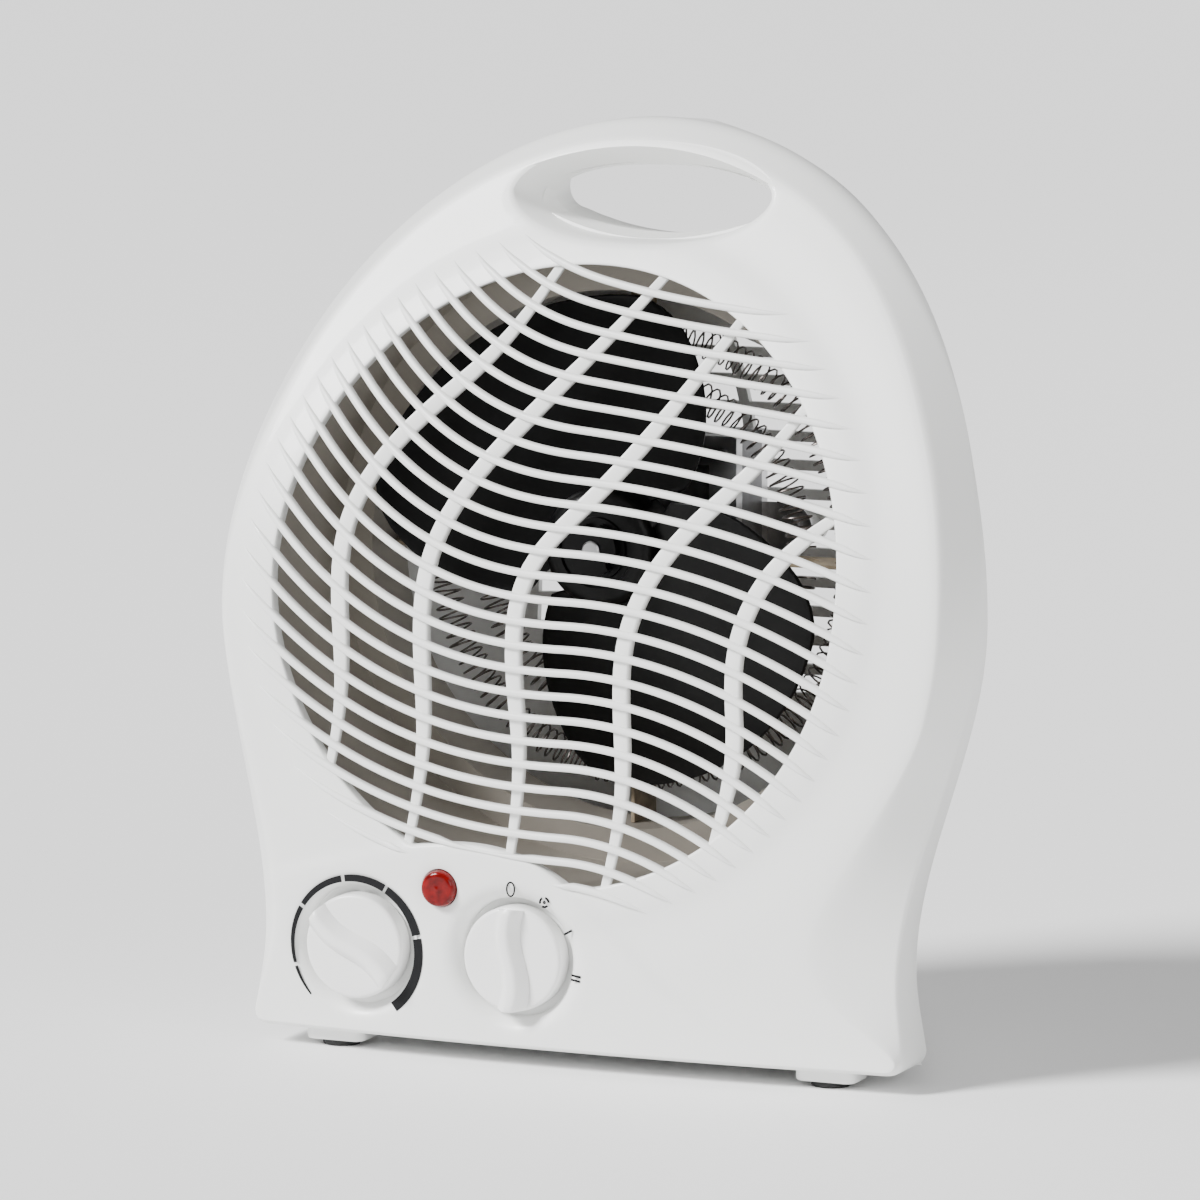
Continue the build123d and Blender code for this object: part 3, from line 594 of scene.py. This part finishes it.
def sweepTree(name, material, fill):
    tree = bpy.data.node_groups.new(name, "GeometryNodeTree")
    face = tree.interface
    face.new_socket("Lines", in_out="INPUT", socket_type="NodeSocketGeometry")
    for label in ("Width", "Depth", "Soft Edge"):
        face.new_socket(label, in_out="INPUT", socket_type="NodeSocketFloat")
    face.new_socket("Geometry", in_out="OUTPUT", socket_type="NodeSocketGeometry")
    add = tree.nodes.new
    source, result = add("NodeGroupInput"), add("NodeGroupOutput")
    toCurve = add("GeometryNodeMeshToCurve")
    normal = add("GeometryNodeSetCurveNormal")
    taper = add("GeometryNodeInputNamedAttribute")
    taper.data_type = "FLOAT"
    taper.inputs["Name"].default_value = "taper"
    sweep = add("GeometryNodeCurveToMesh")
    sweep.inputs["Fill Caps"].default_value = True
    smooth = add("GeometryNodeSetShadeSmooth")
    real = add("GeometryNodeRealizeInstances")
    paint = add("GeometryNodeSetMaterial")
    paint.inputs["Material"].default_value = material
    link = tree.links.new
    link(source.outputs["Lines"], toCurve.inputs["Mesh"])
    link(toCurve.outputs["Curve"], normal.inputs["Curve"])
    link(normal.outputs["Curve"], sweep.inputs["Curve"])
    link(taper.outputs["Attribute"], sweep.inputs["Scale"])
    if fill == "bar":
        normal.mode = "FREE"
        normal.inputs["Normal"].default_value = (0, 1, 0)
        block = add("GeometryNodeCurvePrimitiveQuadrilateral")
        soften = add("GeometryNodeFilletCurve")
        soften.mode = "POLY"
        soften.inputs["Count"].default_value = 3
        soften.inputs["Limit Radius"].default_value = True
        link(source.outputs["Depth"], block.inputs["Width"])
        link(source.outputs["Width"], block.inputs["Height"])
        link(source.outputs["Soft Edge"], soften.inputs["Radius"])
        link(block.outputs["Curve"], soften.inputs["Curve"])
        link(soften.outputs["Curve"], sweep.inputs["Profile Curve"])
    else:
        wire = add("GeometryNodeCurvePrimitiveCircle")
        wire.inputs["Resolution"].default_value = 6
        link(source.outputs["Width"], wire.inputs["Radius"])
        link(wire.outputs["Curve"], sweep.inputs["Profile Curve"])
    link(sweep.outputs["Mesh"], smooth.inputs["Geometry"])
    link(smooth.outputs["Geometry"], real.inputs["Geometry"])
    link(real.outputs["Geometry"], paint.inputs["Geometry"])
    link(paint.outputs["Geometry"], result.inputs["Geometry"])
    return tree


def sweepLines(name, lines, tapers, sizes, material, fill="bar"):
    # lines of points become one mesh of edges, which the tree sweeps into bars or wire
    verts, edges, amounts = [], [], []
    for line, taper in zip(lines, tapers):
        start = len(verts)
        verts += [(x * mm, y * mm, z * mm) for x, y, z in line]
        amounts += list(taper)
        edges += [(start + k, start + k + 1) for k in range(len(line) - 1)]
    mesh = bpy.data.meshes.new(name + "Lines")
    mesh.from_pydata(verts, edges, [])
    mesh.attributes.new("taper", "FLOAT", "POINT").data.foreach_set("value", amounts)
    guide = bpy.data.objects.new(name + "Lines", mesh)
    bpy.context.scene.collection.objects.link(guide)
    tree = sweepTree(name + "Sweep", material, fill)
    modifier = guide.modifiers.new("sweep", "NODES")
    modifier.node_group = tree
    for item in tree.interface.items_tree:
        if item.in_out == "INPUT" and item.name in sizes:
            modifier[item.identifier] = sizes[item.name] * mm
    evaluated = guide.evaluated_get(bpy.context.evaluated_depsgraph_get())
    made = bpy.data.meshes.new_from_object(evaluated)
    guide.modifiers.clear()
    piece = bpy.data.objects.new(name, made)
    bpy.context.scene.collection.objects.link(piece)
    bpy.data.objects.remove(guide)
    tidyMesh(piece, angle=50)
    if not piece.data.materials:
        piece.data.materials.append(material)
    return piece


def ribHeight(x, middle):
    # the wave of a rib across the grille: it changes from the lowest rib to the top one
    s = (middle - 120) / 80
    slope = (0.05 + 1.06 * s + 1.78 * s * s) / 16
    if x < 0:
        return middle - slope * x + (19.0 + 12.2 * s + 2.4 * s * s) * (-x / 64) ** 2.38
    return middle - slope * x - (16.7 - 21.7 * s) * (x / 64) ** 2


def grilleRibs():
    lines, tapers = [], []
    reach = grille["radius"] + grille["runOut"]
    for k in range(grille["ribCount"]):
        middle = grille["topRib"] - k * grille["ribPitch"]
        line, taper = [], []
        for x in np.arange(grille["x"] - reach, grille["x"] + reach, grille["ribStep"]):
            z = ribHeight(x, middle)
            away = math.hypot(x - grille["x"], z - grille["z"])
            clear = (z - panelAt(x)) / 2.0
            if away > reach or clear < -1.2:
                continue
            fade = min(1.0, (reach - away) / grille["runOut"])
            fade = max(0.0, min(fade, 0.55 + 0.45 * clear))
            sunk, tip = grille["tipSunk"], grille["tipSize"]
            proud = (grille["ribProud"] + sunk) * smoothstep(fade * 1.6) - sunk
            size = tip + (1 - tip) * min(1.0, fade * 1.25)
            line.append((x, faceAt(x, z) - proud + grille["ribDepth"] / 2 * size, z))
            taper.append(size)
        if len(line) > 6:
            lines.append(line)
            tapers.append(taper)
    return sweepLines("frontShellRibs", lines, tapers,
                      {"Width": grille["ribWidth"], "Depth": grille["ribDepth"],
                       "Soft Edge": 0.75}, housingWhite)


stayLines = (
    ((-16, 211), (-30, 188), (-52, 166), (-66, 142), (-66, 112), (-66, 94), (-70, 72)),
    ((16, 211), (3, 194), (-22, 165.5), (-40, 136), (-42, 116), (-41, 86), (-46, 54)),
    ((42, 205), (29, 184), (4, 151), (-12, 131), (-15, 112), (-13, 84), (-16, 52)),
    ((64, 184), (49, 162), (27, 138), (17, 116), (16, 98), (16.5, 76), (11, 46)),
    ((80, 155), (57, 136), (48.5, 119), (47, 104), (47.5, 90), (44, 70), (40, 56)),
)


def grilleStays():
    lines, tapers = [], []
    for stay in stayLines:
        spans = [math.dist(a, b) for a, b in zip(stay, stay[1:])]
        lengths = np.concatenate([[0], np.cumsum(spans)])
        atX = cubicThrough(lengths, [p[0] for p in stay])
        atZ = cubicThrough(lengths, [p[1] for p in stay])
        line, taper = [], []
        for s in np.linspace(0, lengths[-1], 60):
            x, z = atX(s), atZ(s)
            away = math.hypot(x - grille["x"], z - grille["z"])
            if away > grille["radius"] + grille["stayPast"]:
                continue
            share = s / lengths[-1]
            full = smoothstep(min(share, 1 - share) / grille["stayRun"])
            line.append((x, facePlain(x, z) + grille["staySunk"] + grille["stayDepth"] / 2, z))
            taper.append(grille["stayEnd"] + (1 - grille["stayEnd"]) * full)
        lines.append(line)
        tapers.append(taper)
    return sweepLines("frontShellStays", lines, tapers,
                      {"Width": grille["stayWidth"], "Depth": grille["stayDepth"],
                       "Soft Edge": 0.7}, housingWhite)


ribsPiece = grilleRibs()
staysPiece = grilleStays()
print("ribs", len(ribsPiece.data.polygons), "stays", len(staysPiece.data.polygons))
for piece in (shellPiece, ribsPiece, staysPiece):
    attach(piece, "housing")
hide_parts("front_shell")


foot = {"half": (8.5, 6.0), "corner": 3.0, "low": 1.6, "top": 6.5, "edge": 0.7}


def roundedBox(centre, half, corner, low, high, edge, steps=6):
    # upright block with rounded corners and a soft lower edge
    rows = []
    for z, inset in ((low, 3 * edge), (low, edge), (low + edge * 0.3, edge * 0.3),
                     (low + edge, 0.0), (high, 0.0), (high, 3 * edge)):
        row = []
        for quarter, (sx, sy) in enumerate(((1, 1), (-1, 1), (-1, -1), (1, -1))):
            for k in range(steps + 1):
                turn = math.pi / 2 * (quarter + k / steps)
                radius = max(corner - inset, 0.2)
                row.append((centre[0] + sx * (half[0] - corner) + radius * math.cos(turn),
                            centre[1] + sy * (half[1] - corner) + radius * math.sin(turn), z))
        rows.append(row)
    verts, faces = flatten(rows), ringFaces(rows)
    count = len(rows[0])
    faces.append(tuple(range(count)))
    faces.append(tuple(reversed(range(len(verts) - count, len(verts)))))
    return verts, faces


feetVerts, feetFaces = [], []
for side in ("front_left_pad", "front_right_pad"):
    spot = middleOf(side)
    verts, faces = roundedBox((spot.x, spot.y), foot["half"], foot["corner"], foot["low"],
                              foot["top"], foot["edge"])
    feetFaces += [tuple(i + len(feetVerts) for i in face) for face in faces]
    feetVerts += verts
feetPiece = makeMesh("frontShellFeet", feetVerts, feetFaces, housingWhite)
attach(feetPiece, "housing")


knobShape = {"radius": 14.0, "rise": 5.2, "edge": 1.1, "bore": 3.2, "below": 0.6,
             "gripHigh": 4.0, "gripWide": 6.6, "swing": 1.15, "gripInset": 0.35}


def knobMesh(name, knob):
    turn = math.radians(knob["turn"])
    faceLevel = frontY - knobShape["rise"]
    radius, edge = knobShape["radius"], knobShape["edge"]
    back = recess["floorY"] - knobShape["below"]
    profile = [(knobShape["bore"], back), (radius, back), (radius, faceLevel + edge + 1)]
    for k in range(6):
        bend = math.pi / 2 * k / 5
        profile.append((radius - edge * (1 - math.cos(bend)),
                        faceLevel + edge * (1 - math.sin(bend))))
    # the disc is a little crowned
    profile += [(radius - 3, faceLevel - 0.05), (radius / 2, faceLevel - 0.15),
                (0.01, faceLevel - 0.2)]
    verts, faces = revolve(profile, (knob["x"], knob["z"]), 96)
    # grip: an S-shaped ridge across the disc, wider at its foot
    rows = []
    reach = radius - knobShape["gripInset"]
    for i in range(41):
        t = 2 * i / 40 - 1
        along = reach * t
        swing = knobShape["swing"] * math.sin(math.pi * t)
        rim = min(1.0, (1 - abs(t)) * 9)
        half = knobShape["gripWide"] / 2 * (0.93 - 0.07 * t)
        high = knobShape["gripHigh"] * (0.86 + 0.14 * math.sin(math.pi / 2 * rim))
        row = []
        for k in range(17):
            u = 2 * k / 16 - 1
            across = half * (1.28 * u if abs(u) > 0.85 else (0.86 * u + 0.10 * u ** 3) * 1.12)
            lift = high * (1 - abs(u) ** 3.4) if abs(u) < 1 else 0.0
            limit = math.sqrt(max(0.0, (radius - 0.3) ** 2 - (swing - across) ** 2))
            place = max(-limit, min(limit, along))
            row.append((across - swing, faceLevel + 0.3 - lift, place))
        rows.append(row)
    start = len(verts)
    for row in rows:
        for px, py, pz in row:
            verts.append((knob["x"] + px * math.cos(turn) + pz * math.sin(turn), py,
                          knob["z"] - px * math.sin(turn) + pz * math.cos(turn)))
    faces += ringFaces(rows, closed=False, start=start)
    count = len(rows[0])
    for r in (0, len(rows) - 1):
        ends = [start + r * count + c for c in range(count)]
        faces.append(tuple(ends if r else reversed(ends)))
    bottom = [start + r * count for r in range(len(rows))]
    far = [start + r * count + count - 1 for r in range(len(rows) - 1, -1, -1)]
    faces.append(tuple(bottom + far))
    piece = makeMesh(name, verts, faces, knobWhite)
    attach(piece, knob["body"])
    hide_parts(knob["node"])
    return piece


for label, knob in knobs.items():
    knobMesh(label + "KnobCap", knob)
print("knobs made")


scale = {"outer": 19.9, "thin": 0.4, "thick": 2.8, "start": -134.0, "end": 144.0, "drop": 0.8,
         "arcs": ((-134, -109), (-106, -59), (-56, -13), (-10, 26.5), (29, 74.5), (77.5, 144)),
         "lift": 0.06, "nought": (19.6, 0.0), "fanSign": (19.4, 30.0), "strokeRadius": 18.6,
         "strokes": ((60.5, (0.0,)), (99.0, (-0.6, 0.6))), "strokeHalf": (0.29, 1.3)}


def printPatch(rows, verts, faces):
    # a thin closed patch that follows the panel; rows are lists of (x, z)
    start = len(verts)
    count = len(rows[0])
    layers = []
    for lift in (scale["lift"], -0.05):
        layers.append([(x, faceAt(x, z) - lift, z) for row in rows for x, z in row])
    verts += layers[0] + layers[1]
    size = len(layers[0])
    top = ringFaces(rows, closed=False, start=start)
    faces += top
    faces += [tuple(i + size for i in reversed(face)) for face in top]
    rim = [c for c in range(count)] + [r * count + count - 1 for r in range(1, len(rows))]
    rim += [(len(rows) - 1) * count + c for c in range(count - 2, -1, -1)]
    rim += [r * count for r in range(len(rows) - 2, 0, -1)]
    for a, b in zip(rim, rim[1:] + rim[:1]):
        faces.append((start + b, start + a, start + a + size, start + b + size))


def polar(knob, radius, degrees):
    turn = math.radians(degrees)
    return (knob["x"] + radius * math.sin(turn),
            knob["z"] - scale["drop"] + radius * math.cos(turn))


def printedMarks():
    verts, faces = [], []
    dial, switch = knobs["thermostat"], knobs["selector"]
    for first, last in scale["arcs"]:
        rows = []
        steps = int((last - first) / 2) + 2
        for turn in np.linspace(first, last, steps):
            share = (turn - scale["start"]) / (scale["end"] - scale["start"])
            thick = scale["thin"] + (scale["thick"] - scale["thin"]) * share ** 0.65
            rows.append([polar(dial, scale["outer"] - thick * (1 - k / 3), turn)
                         for k in range(4)])
        printPatch(rows, verts, faces)
    # nought at the top: an upright oval ring
    cx, cz = polar(switch, *scale["nought"])
    rows = [[(cx + (0.9 + 0.42 * k) * math.cos(t), cz + (1.65 + 0.42 * k) * math.sin(t))
             for k in range(2)] for t in np.linspace(0, 2 * math.pi, 33)]
    printPatch(rows, verts, faces)
    # small fan sign: a ring of three short blades about a dot
    cx, cz = polar(switch, *scale["fanSign"])
    for blade in range(3):
        rows = []
        for t in np.linspace(0, 1.35, 8):
            turn = t + blade * 2 * math.pi / 3
            rows.append([(cx + r * math.cos(turn), cz + r * math.sin(turn)) for r in (0.95, 1.5)])
        printPatch(rows, verts, faces)
    rows = [[(cx + r * math.cos(t), cz + r * math.sin(t)) for r in (0.08, 0.45)]
            for t in np.linspace(0, 2 * math.pi, 13)]
    printPatch(rows, verts, faces)
    # one and two strokes, along the dial's radius
    thin, tall = scale["strokeHalf"]
    for degrees, offsets in scale["strokes"]:
        for offset in offsets:
            turn = math.radians(degrees)
            ox, oz = polar(switch, scale["strokeRadius"], degrees)
            rows = []
            for along in np.linspace(-tall, tall, 5):
                rows.append([(ox + along * math.sin(turn) + (offset + side) * math.cos(turn),
                              oz + along * math.cos(turn) - (offset + side) * math.sin(turn))
                             for side in (-thin, thin)])
            printPatch(rows, verts, faces)
    marks = makeMesh("printedMarks", verts, faces, printInk)
    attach(marks, "housing")
    return marks


printedMarks()
print("print made")


def indicatorLens():
    radius, soft = lens["radius"], lens["soft"]
    level = facePlain(lensSpot.x, lensSpot.z) - housing["panelRise"]
    under = level + 0.3 + lens["stemLength"]
    profile = [(0.01, under), (lens["stem"], under), (lens["stem"], level + 0.7),
               (radius, level + 0.7), (radius, level)]
    for k in range(7):
        bend = math.pi / 2 * k / 6
        profile.append((radius - soft + soft * math.cos(bend),
                        level - lens["high"] * math.sin(bend)))
    # facets moulded in the lens
    top = level - lens["high"]
    profile += [(2.6, top - 0.05), (1.3, top + 0.15), (0.01, top - 0.2)]
    verts, faces = revolve(profile, (lensSpot.x, lensSpot.z), 48)
    cap = makeMesh("indicatorLensCap", verts, faces, lensRed)
    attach(cap, "housing")
    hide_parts("indicator_lens")


indicatorLens()


fanShape = {"radius": 66.0, "root": 14.0, "hub": 16.0, "hubLength": 18.0, "thickness": 1.3,
            "middleY": frontY + 42.0, "pitch": 15.0, "places": (-125.0, 55.0), "camber": 1.4,
            "spread": 88.0, "spreadRadius": 24.0, "narrowIn": 1.3, "narrowOut": 1.05,
            "tipRound": 8.0, "edge": 0.45, "bore": 2.6, "hubRound": 4.0, "hubEdge": 1.5,
            "ringDeep": 0.9}


def petalSpread(radius):
    # half the angle a blade covers at a radius: widest near the hub, its tip corners rounded
    past = radius - fanShape["spreadRadius"]
    lost = fanShape["narrowOut"] * past if past > 0 else fanShape["narrowIn"] * -past
    spread = fanShape["spread"] - lost
    start = fanShape["radius"] - fanShape["tipRound"]
    if radius > start:
        lost = fanShape["tipRound"] - math.sqrt(max(0.0, fanShape["tipRound"] ** 2
                                                    - (radius - start) ** 2))
        spread -= math.degrees(lost / radius)
    return spread


def fanImpeller():
    verts, faces = [], []
    middle = fanShape["middleY"]
    slope = math.tan(math.radians(fanShape["pitch"]))
    shares = [*np.linspace(0, 0.86, 18), 0.9, 0.93, 0.955, 0.975, 0.99, 1.0]
    for place in fanShape["places"]:
        rows = []
        for share in shares:
            radius = fanShape["root"] + (fanShape["radius"] - fanShape["root"]) * share
            spread = petalSpread(radius)
            row = []
            for k in range(33):
                u = 2 * k / 32 - 1
                turn = math.radians(u * spread)
                y = radius * math.sin(turn) * slope + fanShape["camber"] * (1 - u * u) * share
                turn += math.radians(place)
                row.append((fanX + radius * math.cos(turn), middle + y,
                            fanZ - radius * math.sin(turn)))
            rows.append(row)
        start = len(verts)
        verts += flatten(rows)
        faces += ringFaces(rows, closed=False, start=start)
    blades = makeMesh("fanBlades", verts, faces, fanBlack)
    solid = blades.modifiers.new("wall", "SOLIDIFY")
    solid.thickness = fanShape["thickness"] * mm
    solid.offset = 0
    softEdge = blades.modifiers.new("softEdge", "BEVEL")
    softEdge.width = fanShape["edge"] * mm
    softEdge.segments = 2
    front = middle - fanShape["hubLength"] / 2
    back = middle + fanShape["hubLength"] / 2
    hub, bore, edge = fanShape["hub"], fanShape["bore"], fanShape["hubEdge"]
    curve, ring = fanShape["hubRound"], front + fanShape["ringDeep"]
    profile = [(bore, back), (hub - edge, back), (hub, back - edge), (hub, front + curve)]
    for k in range(1, 8):
        bend = math.pi / 2 * k / 7
        profile.append((hub - curve + curve * math.cos(bend),
                        front + curve - curve * math.sin(bend)))
    # a shallow ring groove round the clip
    profile += [(10.5, front), (10.2, ring), (8.6, ring), (8.3, front + 0.1),
                (7.2, front + 0.1), (bore, front + 0.1)]
    hubVerts, hubFaces = revolve(profile, (fanX, fanZ), 72)
    count = 72
    last = (len(profile) - 1) * count
    hubFaces += [(last + k, last + (k + 1) % count, (k + 1) % count, k) for k in range(count)]
    hubPiece = makeMesh("fanHub", hubVerts, hubFaces, fanBlack)
    for piece in (blades, hubPiece):
        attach(piece, "fan")
    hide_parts("fan_impeller")


fanImpeller()
print("fan made")


coil = {"radii": (46.0, 60.0), "bore": 3.9, "wire": 0.28, "pitch": 2.6,
        "middleY": frontY + 65.5, "gap": 10.0, "turnSteps": 12, "uneven": 0.06}


def heatingCoils():
    for radius, node in zip(coil["radii"], ("inner_heating_coil", "outer_heating_coil")):
        count = int(2 * math.pi * radius / coil["pitch"]) * coil["turnSteps"]
        line = []
        for k in range(count + 1):
            share = k / count
            around = math.radians(coil["gap"] / 2 + (360 - coil["gap"]) * share)
            twist = 2 * math.pi * k / coil["turnSteps"]
            sway = 1 + coil["uneven"] * math.sin(k * 0.37)
            out = radius + coil["bore"] * math.cos(twist) * sway
            line.append((grille["x"] + out * math.cos(around),
                         coil["middleY"] + coil["bore"] * math.sin(twist),
                         grille["z"] - out * math.sin(around)))
        piece = sweepLines(node.title().replace("_", "") + "Wire", [line], [[1.0] * len(line)],
                           {"Width": coil["wire"]}, heaterWire, fill="wire")
        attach(piece, "housing")
        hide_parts(node)


heatingCoils()
print("coils made")


finishes = {
    "rear_shell": housingWhite, "air_duct": ductTaupe, "mica_board_1": micaBoard,
    "mica_board_2": micaBoard, "mica_board_3": micaBoard, "mica_board_4": micaBoard,
    "thermal_cutout": platedSteel, "thermal_fuse": platedSteel, "fan_clip": fanBlack,
    "motor_shaft": platedSteel, "motor_rotor": coreSteel, "motor_core": coreSteel,
    "motor_winding": windingTape, "motor_front_bracket": platedSteel,
    "motor_rear_bracket": platedSteel, "motor_front_bush": bushBronze,
    "motor_rear_bush": bushBronze, "motor_screws": platedSteel, "motor_mount": platedSteel,
    "mount_screws": platedSteel, "housing_screws": platedSteel,
    "thermostat_spindle": greyNylon, "thermostat_body": controlCream,
    "selector_spindle": greyNylon, "selector_switch_body": controlCream,
    "indicator_lamp": lampGlass, "front_left_pad": rubberBlack,
    "front_right_pad": rubberBlack, "back_left_pad": rubberBlack,
    "back_right_pad": rubberBlack, "cord_inlet_bush": greyNylon,
    "terminal_block": whiteNylon,
}
for name, material in finishes.items():
    node = nodes[name]
    node.data.materials.clear()
    node.data.materials.append(material)
print("CAD nodes finished")


stage = {"target": (9.1, frontY, 125.5), "distance": 2000.0, "azimuth": 23.5, "elevation": 8.0,
         "lens": 230.4, "floorHalf": 6.0}
light = {"sky": 0.42, "sun": 7.0, "sunSize": 18.0, "sunFrom": (-1.25, -1.3, 1.5),
         "aimAt": (0, 0, 0.12), "lamps": (("fillLamp", (1.6, -1.0, 0.8), 1.0, 12.0),
                                          ("backLamp", (0.6, 1.8, 0.9), 1.4, 4.0))}


def buildStage():
    paper = newMaterial("paper", (0.93, 0.93, 0.93), 0.8)
    addGrain(paper, 60, 0.02, 0.0005)
    mesh = bpy.data.meshes.new("floorSheet")
    far = stage["floorHalf"]
    mesh.from_pydata([(-far, -far, 0), (far, -far, 0), (far, far, 0), (-far, far, 0)], [],
                     [(0, 1, 2, 3)])
    floor = bpy.data.objects.new("floorSheet", mesh)
    floor.location.z = cadBox[0].z
    bpy.context.scene.collection.objects.link(floor)
    mesh.materials.append(paper)
    # the sky lights the object softly, and is seen as plain white
    world = bpy.data.worlds.new("studio")
    world.use_nodes = True
    tree = world.node_tree
    sky = tree.nodes["Background"]
    sky.inputs["Color"].default_value = (1, 1, 1, 1)
    path = tree.nodes.new("ShaderNodeLightPath")
    level = tree.nodes.new("ShaderNodeMapRange")
    level.inputs["To Min"].default_value = light["sky"]
    level.inputs["To Max"].default_value = 1.0
    tree.links.new(path.outputs["Is Camera Ray"], level.inputs["Value"])
    tree.links.new(level.outputs["Result"], sky.inputs["Strength"])
    bpy.context.scene.world = world
    sun = bpy.data.lights.new("keySun", "SUN")
    sun.energy = light["sun"]
    sun.angle = math.radians(light["sunSize"])
    aimLamp(sun, light["sunFrom"])
    for name, place, size, power in light["lamps"]:
        lamp = bpy.data.lights.new(name, "AREA")
        lamp.size = size
        lamp.energy = power
        aimLamp(lamp, place)


def aimLamp(lamp, place):
    holder = bpy.data.objects.new(lamp.name, lamp)
    holder.location = place
    aim = Vector(light["aimAt"]) - Vector(place)
    holder.rotation_euler = aim.to_track_quat("-Z", "Y").to_euler()
    bpy.context.scene.collection.objects.link(holder)


def placeCamera():
    target = Vector(stage["target"]) * mm
    azimuth, elevation = math.radians(stage["azimuth"]), math.radians(stage["elevation"])
    toCamera = Vector((math.sin(azimuth) * math.cos(elevation),
                       -math.cos(azimuth) * math.cos(elevation), math.sin(elevation)))
    camera = bpy.data.cameras.new("camera")
    camera.lens = stage["lens"]
    camera.clip_start = 0.1
    holder = bpy.data.objects.new("camera", camera)
    holder.location = target + toCamera * stage["distance"] * mm
    holder.rotation_euler = (-toCamera).to_track_quat("-Z", "Y").to_euler()
    bpy.context.scene.collection.objects.link(holder)
    bpy.context.scene.camera = holder


buildStage()
placeCamera()
print("stage set")
